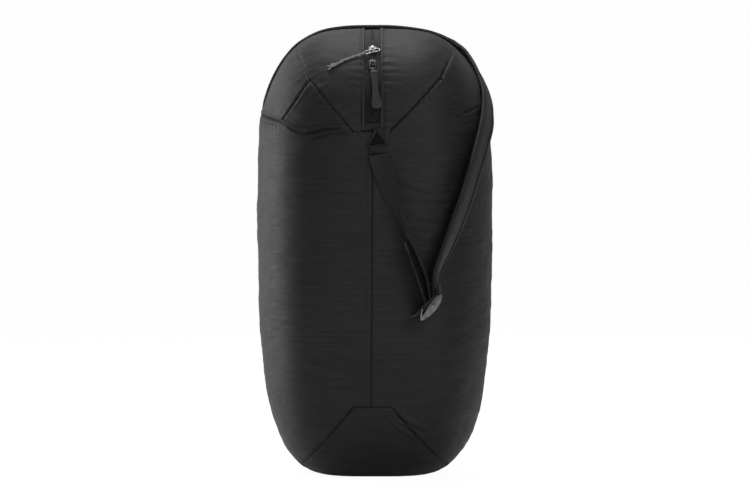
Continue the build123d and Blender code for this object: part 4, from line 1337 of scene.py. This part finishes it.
# ---------------------------------------------------------------- padded strap
# (x, y, z, width direction) from the back anchor round the left side, over the top,
# down the right shoulder and along the front to the lock
SHOULDER_END = (134.9, -30.5, 441.5)
STRAP = [
    (-11.6, 124.2, 395.1, 0.0, 0.0, -1.0), (-30.4, 123.9, 396.2, -0.064, 0.039, -0.997),
    (-61.0, 120.3, 398.2, -0.094, 0.027, -0.995), (-87.3, 109.6, 401.2, -0.151, -0.040, -0.988),
    (-106.2, 92.9, 406.2, -0.192, -0.164, -0.968), (-120.4, 71.4, 414.2, -0.295, -0.481, -0.826),
    (-126.7, 55.6, 435.2, -0.407, -0.839, -0.361), (-122.7, 55.5, 453.9, -0.344, -0.924, 0.169),
    (-112.5, 58.0, 477.2, -0.301, -0.926, 0.230), (-99.9, 58.4, 495.4, -0.250, -0.907, 0.330),
    # over the top
    (-86.2, 60.2, 507.8, -0.189, -0.874, 0.448), (-63.1, 62.7, 519.4, -0.113, -0.862, 0.494),
    (-35.5, 63.2, 524.5, -0.035, -0.867, 0.497), (-3.1, 63.7, 525.4, 0.000, -0.866, 0.500),
    (25.1, 63.4, 524.9, 0.000, -0.866, 0.500), (56.0, 61.3, 521.2, -0.037, -0.862, 0.505),
    (76.8, 56.0, 516.0, -0.160, -0.827, 0.539), (94.5, 45.7, 508.6, -0.295, -0.740, 0.605),
    # right shoulder
    (102.8, 36.1, 504.3, -0.396, -0.627, 0.670), (113.3, 20.2, 495.8, -0.311, -0.681, 0.663),
    (123.0, 4.7, 481.5, -0.270, -0.774, 0.572), (130.2, -8.0, 465.7, -0.287, -0.802, 0.524),
    (134.0, -17.8, 453.2, -0.300, -0.720, 0.620), (*SHOULDER_END, -0.310, -0.690, 0.650),
    # front
    (134.4, -45.0, 428.6, -0.340, -0.720, 0.600), (130.8, -62.0, 411.6, -0.320, -0.740, 0.580),
    (121.2, -88.0, 377.1, -0.300, -0.780, 0.500), (110.4, -105.0, 342.0, -0.300, -0.820, 0.450),
    (99.6, -118.0, 312.7, -0.300, -0.850, 0.400), (87.6, -130.0, 283.3, -0.240, -0.920, 0.300),
    (78.0, -135.4, 262.0, -0.160, -0.970, 0.200), (73.6, -136.2, 249.0, -0.118, -0.985, 0.128),
]
STRAP += lock_stations([LOCK_C + LOOP_BAR * LOCK_UP + 15.9 * leg_direction(LOOP_DEG)])
strap = ribbon_frames(STRAP, 0.9)
off_middle = np.abs(strap.centre[:, 0]) + np.where(strap.centre[:, 2] < 500, 999, 0)
crown_i = int(np.argmin(off_middle))
shoulder_i = int(np.argmin(np.linalg.norm(strap.centre - np.array(SHOULDER_END), axis=1)))


def pad_shape(run, section):
    """Quilted pad: two stitch channels and a soft middle."""
    shaped = section.copy()
    side = np.sign(section[:, 1]) * (np.abs(section[:, 1]) > 1.0)
    off = np.abs(section[:, 0])
    shaped[:, 1] -= side * 0.45 * np.exp(-(((off - 10.2) / 0.8) ** 2))
    shaped[:, 1] += side * 0.12 * sin(run * 0.9) * np.exp(-(((off - 12) / 2.5) ** 2))
    shaped[:, 1] *= 1 + 0.05 * sin(run * 0.21) + 0.03 * sin(run * 0.083 + 1)
    return shaped


def binding_section(side):
    """Section of a tape folded round one strap edge, thicker at the edge."""
    edge = []
    for i in range(15):
        a = radians(-90 + 180 * i / 14)
        edge.append((15.4 + 2.55 * max(cos(a), 0.0) ** 0.8, 2.5 * sin(a)))
    fold = [(13.2, 2.62), (11.0, 2.45), (10.6, 2.2), (10.7, 1.85), (13.0, 1.9), (14.6, 1.4)]
    return [(side * a, n) for a, n in edge + fold + [(a, -n) for a, n in fold[::-1]]]


def strap_piece(tag, start, end, runs, blend):
    """Pad and two sewn bindings of one stretch, replacing the named runs of the frame."""
    frames = slice_frames(strap, start, end + 1)
    section = rounded_section(29.6, 3.7, corner=4, radius=1.6, bulge=0.35, spans=26)
    pad = sweep(f"{tag}_pad_cloth", frames, section, STRAP_FACE, shape=pad_shape)
    register(pad, "strap_fabric", *(f"strap_{run}_pad" for run in runs), rides=None)
    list(blend[:2])
    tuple(blend[2])
    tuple(blend[3])
    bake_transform(pad)
    for edge, side in (("outer", 1), ("inner", -1)):
        name = f"{tag}_binding_{edge}"

        def ripple(run, section):
            return section * np.array([1.0, 1 + 0.035 * sin(run * 1.4 + side)])

        pieces = [sweep(name, frames, binding_section(side), BINDING, shape=ripple)]
        for face in (1, -1):
            path = frames.centre + frames.across * (side * 12.2) + frames.out * (face * 2.58)
            pieces.append(stitches(path, frames.out * face, pitch=3.3, length=2.4, radius=0.24,
                                   along=frames.along))
        binding = join(name + "_sewn", pieces)
        nodes = (f"strap_{run}_binding_{edge}" for run in runs)
        register(binding, "strap_binding", *nodes, rides=None)
        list(blend[:2])
        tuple(blend[2])
        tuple(blend[3])
        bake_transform(binding)


# last tuples: from part, to part, start and end in metres
strap_piece("strap_left", 0, crown_i, ("back_run", "crown"),
            ("sack", "strap_crown", (-0.125, 0.057, 0.455), (-0.055, 0.062, 0.520)))
strap_piece("strap_right", crown_i, shoulder_i, ("shoulder",),
            ("sack", "strap_crown", (0.122, 0.006, 0.483), (0.055, 0.061, 0.521)))
hang_start = strap.centre[shoulder_i] * MM
hang_end = hang_start + strap.along[shoulder_i] * 0.040
strap_piece("strap_hang", shoulder_i, len(strap.run) - 1, ("front",),
            ("sack", "strap_front", tuple(hang_start), tuple(hang_end)))

# ---------------------------------------------------------------- adjuster webbing
WEB_STEP, BEND_STEP = 0.7, 0.45


def web_section(width=25.0, thick=1.5, ribs=9):
    """Webbing section with rounded selvedges and shallow lengthwise ribs."""
    top = []
    for i in range(47):
        a = -width / 2 + 0.5 + (width - 1.0) * i / 46
        top.append((a, thick / 2 - 0.13 + 0.13 * cos(2 * pi * ribs * (a / width))))
    edge = [(width / 2 - 0.15, thick * 0.3), (width / 2, 0.0), (width / 2 - 0.15, -thick * 0.3)]
    return top + edge + [(a, -n) for a, n in top[::-1]] + [(-a, -n) for a, n in edge]


def web_shape(run, section):
    shaped = section.copy()
    shaped[:, 1] += 0.05 * sin(run * 2 * pi / 1.7) * np.sign(section[:, 1])
    return shaped


def web_piece(name, frames, shape=web_shape):
    return sweep(name, frames, web_section(), WEBBING, shape=shape)


def faced(deg):
    """Width direction turned from +x towards the front."""
    a = radians(deg)
    return (cos(a), -sin(a), 0.0)


# (x, y, z, angle of the width direction) from the front anchor down to the lock
ADJUSTER = [
    (4.8, -124.9, 391.4, 0), (5.6, -125.9, 386.4, 5), (7.2, -127.3, 381.0, 12),
    (12.5, -130.0, 363.0, 27), (17.8, -132.6, 346.0, 42), (26.2, -135.4, 326.0, 60),
    (34.4, -136.9, 311.0, 76), (39.6, -137.0, 295.6, 86), (46.8, -136.4, 281.0, 92),
    (55.2, -135.6, 263.0, 95),
]
ADJUSTER_LOW = [(61.2, -135.6, 247.3), (65.2, -135.3, 231.0)]  # square to the lock
turn = bend_points(TURN_BAR, 2.85, 58.0, TAIL_DEG, 8.4, 8.6)
stations = [(*row[:3], *faced(row[3])) for row in ADJUSTER]
stations += lock_stations(ADJUSTER_LOW + [turn[0]])
adjuster = ribbon_frames(stations, WEB_STEP)
split = int(np.argmin(np.abs(adjuster.centre[:, 2] - 300)))
upper_web = web_piece("adjuster_upper", slice_frames(adjuster, 0, split + 1))
lower_web = web_piece("adjuster_lower", slice_frames(adjuster, split, None))
for web in (upper_web, lower_web):
    register(web, "webbing", "adjuster_webbing", rides=None)
anchor = np.array(ADJUSTER[0][:3]) * MM
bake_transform(upper_web)
tuple(np.array(turn[0]) * MM)
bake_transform(lower_web)

ob = web_piece("webbing_turn_folded", ribbon_frames(lock_stations(turn), BEND_STEP))
register(ob, "webbing", "webbing_turn", rides="ladder_lock")
loop = bend_points(LOOP_BAR, 3.35, LOOP_DEG, LOOP_DEG, 15.5, 15.5)
ob = web_piece("lock_loop_folded", ribbon_frames(lock_stations(loop), BEND_STEP))
register(ob, "webbing", "lock_loop_webbing", rides="strap_front")

# free tail, folded over and stitched at its end
tail_stations = lock_stations([turn[-1], (54.2, -135.3, 236.0)]) + [
    (46.6, -136.6, 258.0, *faced(95)),
    (39.6, -137.3, 277.0, *faced(92)),
    (36.4, -137.3, 286.4, *faced(92)),
]
tail = ribbon_frames(tail_stations, WEB_STEP)


def tail_shape(run, section):
    folded = np.clip((run - (tail.run[-1] - 9.6)) / 1.2, 0, 1)
    return web_shape(run, section) * np.array([1.0, 1 + 1.2 * folded])


pieces = [web_piece("webbing_tail_strip", tail, tail_shape)]
row = np.linspace(-11, 11, 40)[:, None]
for i in (int(len(tail.run) - 7.0 / WEB_STEP), len(tail.run) - 4):
    for face in (1, -1):
        path = tail.centre[i] + tail.across[i] * row + tail.out[i] * (face * 1.66)
        pieces.append(stitches(path, tail.out[i] * face, pitch=2.2, length=1.7, radius=0.22))
ob = join("webbing_tail_sewn", pieces)
register(ob, "webbing", "webbing_tail", "webbing_tail_fold", rides=None)
tail_start = np.array(turn[-1]) * MM
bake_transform(ob)

# ---------------------------------------------------------------- ladder lock
# side outlines: (along LOCK_UP, along LOCK_N)
RAIL = [
    (17.9, 0.4), (16.8, 1.9), (14.4, 2.45), (9, 2.3), (2, 2.5), (-8, 2.2), (-15.5, 2.1),
    (-17.6, 0.9), (-17.0, -0.9), (-12, -2.0), (-2, -2.35), (8, -2.3), (14.2, -2.35),
    (17.2, -1.4), (17.9, 0.4),
]
WEB = [
    (18.6, 0.5), (17.4, -1.2), (13.5, -3.3), (7.5, -4.9), (0.0, -6.1), (-7.0, -7.1),
    (-13.0, -7.8), (-16.6, -7.9), (-14.6, -6.3), (-8.5, -4.4), (-2.2, -2.3), (4.0, -0.7),
    (10.0, 0.6), (15.5, 1.5), (18.6, 0.5),
]
# outline of the plate in front, shaped as the painted highlight on the lock
HIGHLIGHT_LEAF = [
    (19.8, -3.0), (17.2, -5.6), (12.6, -8.2), (7.0, -9.8), (0.5, -10.8), (-6.5, -10.8),
    (-12.0, -9.9), (-16.8, -8.7), (-12.2, -7.6), (-7.2, -6.4), (-1.5, -5.0), (4.8, -3.4),
    (11.0, -2.4), (16.2, -2.2), (19.8, -3.0),
]
LIFT_TAB = [
    (-4.7, 1.5), (-5.4, 2.1), (-8, 2.4), (-14, 2.5), (-18, 3.0), (-21.5, 4.4), (-23.4, 5.2),
    (-24.2, 4.6), (-22.8, 1.8), (-19.5, -0.9), (-14, -1.9), (-7, -2.1), (-4.9, -1.6),
    (-4.5, 0.0), (-4.7, 1.5),
]
lock_put = in_frame(LOCK_C, LOCK_UP, LOCK_N, LOCK_W)


def lock_plate(outline, steps, start, end, bevel, rings, material=ACETAL, put=lock_put):
    """A splined side outline carried across the lock from start to end."""
    return prism("plate", spline(outline, steps)[:-1], start, end, bevel, put, material, rings)


def lock_bar(place, out, radius, half, flat=1.0, sides=20):
    outline = np.array(oval(radius, flat * radius, sides)) + (place, out)
    return prism("bar", outline, -half, half, 0.4, lock_put, ACETAL)


def tab_put(a, n, w):
    """The tab narrows towards its end."""
    return lock_put(a, n, w * np.interp(-a, [4, 15, 24.5], [1.0, 1.0, 0.8]))


def ladder_lock():
    """Two rails joined by bars, with dark webs, a light grey leaf in front as a painted highlight on
    the black plastic, and a lift tab.
    """
    pieces = [
        lock_plate(RAIL, 5, -17.0, -13.3, 0.8, 4),
        lock_plate(RAIL, 5, 13.3, 17.0, 0.8, 4),
        lock_plate(WEB, 4, -17.6, -14.2, 0.9, 5),
        lock_plate(WEB, 4, 13.8, 16.9, 0.8, 5),
        # grey plate: painted highlight on the black plastic
        lock_plate(HIGHLIGHT_LEAF, 4, 14.4, 17.8, 1.1, 5, material=CHEEK_PAINTED_HIGHLIGHT),
    ]
    # raised lips on the outer faces: (place across, start, end, material); the grey lip is a painted
    # highlight
    for w, start, end, material in (
        (-15.2, (-9.6, 2.4), (-16.6, -4.6), ACETAL), (17.2, (-7.6, -0.4), (-15.4, -6.3), CHEEK_PAINTED_HIGHLIGHT),
    ):
        p, q = lock_put(*start, w), lock_put(*end, w)
        pieces.append(tube("lip", [p, 0.5 * (p + q) - 0.3 * LOCK_N, q], 0.7, material,
                           sides=10, step=0.6, axis=LOCK_W))
    pieces += [
        lock_bar(LOOP_BAR, 0, 2.15, 16.6),
        lock_bar(9.65, 0.0, 1.2, 14.0, flat=1.7),
        lock_bar(TURN_BAR, 0, 1.8, 14.5),
        lock_plate(LIFT_TAB, 5, -14.2, 14.2, 0.8, 4, put=tab_put),
    ]
    # ribs across the tab
    pieces += [lock_bar(place, 2.5, 0.65, 11.5, flat=0.8, sides=10) for place in (-8, -11, -14)]
    ob = join("ladder_lock_moulded", pieces)
    register(ob, "lock_plastic", "ladder_lock_frame", rides="ladder_lock")


ladder_lock()


# ---------------------------------------------------------------- anchors
def front_band():
    """Sewn band across the head of the adjuster webbing."""
    outline = densify(round_rect(3.8, 396.4, 22.0, 8.6, 0.9, 3), 1.0)
    put = in_frame((0, -121.4, 0), X_AXIS, Z_AXIS, (0, -1, 0))
    pieces = [prism("band", outline, 0.0, 3.6, 0.9, put, WEBBING)]
    across = np.linspace(-6.2, 13.8, 60)
    for height in (393.8, 396.4, 399.0):
        path = np.stack([across, np.full(60, -125.05), height + 0.7 * np.sin(across * 3.3)], 1)
        pieces.append(stitches(path, (0.0, -1, 0), pitch=1.05, length=1.0, radius=0.26))
    register(join("front_anchor_band_sewn", pieces), "webbing", "front_anchor_band")


# folds of the anchor tape: stations (x, z, height off the cloth, rise of the width
# direction), then widths at even places
LEFT_FOLD = (
    [(-9.9, 397.4, 1.2, -0.1), (-8.2, 402.4, 1.2, -0.3), (-5.0, 409.0, 1.2, -0.35),
     (-1.2, 416.2, 1.2, -0.35), (0.8, 421.0, 0.9, -0.35)],
    [3.0, 3.0, 3.1, 3.6, 4.6],
)
RIGHT_FOLD = (
    [(12.9, 398.4, 1.4, 0.1), (12.9, 404.6, 1.7, 0.2), (11.8, 411.0, 2.0, 0.1),
     (10.4, 417.4, 1.8, -0.1), (10.2, 422.2, 1.1, -0.2)],
    [2.6, 3.4, 6.4, 13.6, 18.0],
)
BACK_PLY = [
    (-9.4, 399.0), (12.4, 399.0), (12.8, 405.0), (8.0, 411.0), (2.4, 418.4), (0.2, 418.4),
    (-5.6, 408.6),
]


def tape_fold(rows, widths):
    stations = [
        (x, -float(half_depth(x, z)) - lift, z, 1.0, 0.0, rise) for x, z, lift, rise in rows
    ]
    frames = ribbon_frames(stations, 0.6)

    def widen(run, section):
        place = run / frames.run[-1] * (len(widths) - 1)
        width = np.interp(place, range(len(widths)), widths)
        return web_shape(run, section * np.array([width, 1.0]))

    return sweep("leg", frames, web_section(1.0, 1.6, 2), WEBBING, shape=widen)


def front_loop():
    """Two folds of tape meeting over an opening, a foot across them and a ply behind, coloured near
    black as painted shade in the opening.
    """
    pieces = [tape_fold(*LEFT_FOLD), tape_fold(*RIGHT_FOLD)]
    foot = [(-8.4, -122.6, 400.2), (2.4, -123.1, 401.6), (12.6, -122.6, 402.4)]
    pieces.append(tube("foot", foot, 1.2, WEBBING, sides=10, step=0.8, axis=(0, 1, 0)))

    def on_front(a, b, n):
        return np.stack([a, -half_depth(a, b) - 0.1 - n, b], -1)

    # the ply's near-black colour is painted shade inside the opening
    pieces.append(prism("ply", densify(BACK_PLY, 1.0), 0.0, 0.8, 0.2, on_front, PLY_PAINTED_SHADE))
    register(join("front_anchor_loop_folded", pieces), "webbing", "front_anchor_loop")


def back_tab():
    """Sewn tab at the back, with a box and two diagonals of stitches."""
    outline = densify(round_rect(-1.0, 395.4, 20.0, 24.0, 1.2, 3), 1.2)
    put = in_frame((0, 121.8, 0), X_AXIS, Z_AXIS, (0, 1, 0))
    pieces = [prism("tab", outline, 0.0, 4.2, 1.0, put, WEBBING)]
    x0, x1, z0, z1, face_y = -9, 7, 385.5, 405.3, 126.05
    box = densify([(x0, z0), (x1, z0), (x1, z1), (x0, z1)], 0.8) + [(x0, z0)]
    paths = [
        [(x, face_y, z) for x, z in box],
        np.linspace((x0, face_y, z0), (x1, face_y, z1), 40),
        np.linspace((x0, face_y, z1), (x1, face_y, z0), 40),
    ]
    for path in paths:
        pieces.append(stitches(path, (0.0, 1, 0), pitch=2.6, length=2.0, radius=0.26))
    register(join("back_anchor_tab_sewn", pieces), "webbing", "back_anchor_tab")


def centre_seam_tape(name, side):
    """Tape behind the centre seam, inside the cloth."""
    height = np.linspace(100.5, 409.5, 12)
    across = ZIP_X - 2.0 * (TIP_Z - height) / 331.0
    depth = side * (body_scale(height) * DOME_R - 2.9)
    stations = [(*point, *X_AXIS) for point in zip(across, depth, height)]
    section = rounded_section(16, 0.8, corner=3, radius=0.38, bulge=0.0, spans=12)
    ob = sweep(name + "_woven", ribbon_frames(stations, 2.0), section, BINDING)
    register(ob, "seam_tape", name)


front_band()
front_loop()
back_tab()
centre_seam_tape("front_centre_seam_tape", -1)
centre_seam_tape("back_centre_seam_tape", 1)


# ---------------------------------------------------------------- floor, world, lights and camera
def stage_floor():
    """A wide disc, nearly white to the camera and pale matt for the lighting of the sack."""
    material, tree, shader = new_material("stage_white")
    set_inputs(tree, shader, {"Base Color": (0.85, 0.85, 0.85, 1), "Roughness": 0.95})
    surface = shader.outputs[0].links[0].to_socket
    glow = add(tree, "Emission", {"Strength": 1.13})
    camera_ray = add(tree, "LightPath").outputs["Is Camera Ray"]
    mix = add(tree, "MixShader", {
        0: math_node(tree, "MULTIPLY", camera_ray, 0.85), 1: shader.outputs[0], 2: glow.outputs[0],
    })
    tree.links.new(mix.outputs[0], surface)
    radius, drop, count = 60000, -0.3, 64
    angles = np.linspace(0, 2 * pi, count, endpoint=False)
    points = [(0.0, 0.0, drop)] + [(radius * cos(a), radius * sin(a), drop) for a in angles]
    faces = [(0, 1 + i, 1 + (i + 1) % count) for i in range(count)]
    make_object("stage_floor", points, faces, material, outward=False)


def studio_world():
    """White to the camera; dimmer as a light, and dimmest on the right-hand side."""
    world = bpy.data.worlds.new("studio")
    bpy.context.scene.world = world
    world.use_nodes = True
    tree = world.node_tree
    light_path = add(tree, "LightPath")
    level = add(tree, "MapRange", {"To Min": 0.22, "To Max": 1.0})  # To Min is linked below
    direction = add(tree, "TexCoord").outputs["Generated"]
    split = add(tree, "SeparateXYZ", {0: direction})
    by_side = map_range(tree, split.outputs[0], source=(-1.0, 1.0), target=(0.29, 0.1))
    set_inputs(tree, level, {"To Min": by_side, "Value": light_path.outputs["Is Camera Ray"]})
    background = tree.nodes["Background"]
    set_inputs(tree, background, {0: (1, 1, 1, 1), 1: level.outputs[0]})


def aim(ob, location, target):
    ob.location = location
    ob.rotation_euler = (Vector(target) - Vector(location)).to_track_quat("-Z", "Y").to_euler()


def area_light(name, location, target, size, watts):
    light = bpy.data.lights.new(name, "AREA")
    light.shape = "RECTANGLE"
    light.size, light.size_y = size
    light.energy = watts
    ob = new_object(name, light)
    aim(ob, location, target)
    return ob


def photo_camera():
    """A distant, slightly raised camera that sees a width of 0.9 m."""
    distance, view_width, sensor = 24.0, 0.9, 36.0
    data = bpy.data.cameras.new("photo_camera")
    data.lens = sensor * distance / view_width
    data.sensor_width = sensor
    data.clip_start, data.clip_end = 1.0, 200
    camera = new_object("photo_camera", data)
    raised = radians(4.0)
    target = Vector((0, 0, 0.2681))
    aim(camera, target + Vector((0, -cos(raised), sin(raised))) * distance, target)
    bpy.context.scene.camera = camera


stage_floor()
studio_world()
area_light("softbox_top", (-0.05, 0.45, 1.8), (0, 0.05, 0.5), size=(0.9, 0.7), watts=11)
area_light("strip_left", (-1.3, 0.75, 0.6), (0, 0, 0.3), size=(0.35, 1.5), watts=10)
area_light("front_fill", (1.2, -2.2, 1.4), (0, 0, 0.25), size=(1.2, 1.2), watts=15)
bpy.context.scene.view_settings.view_transform = "Standard"
photo_camera()
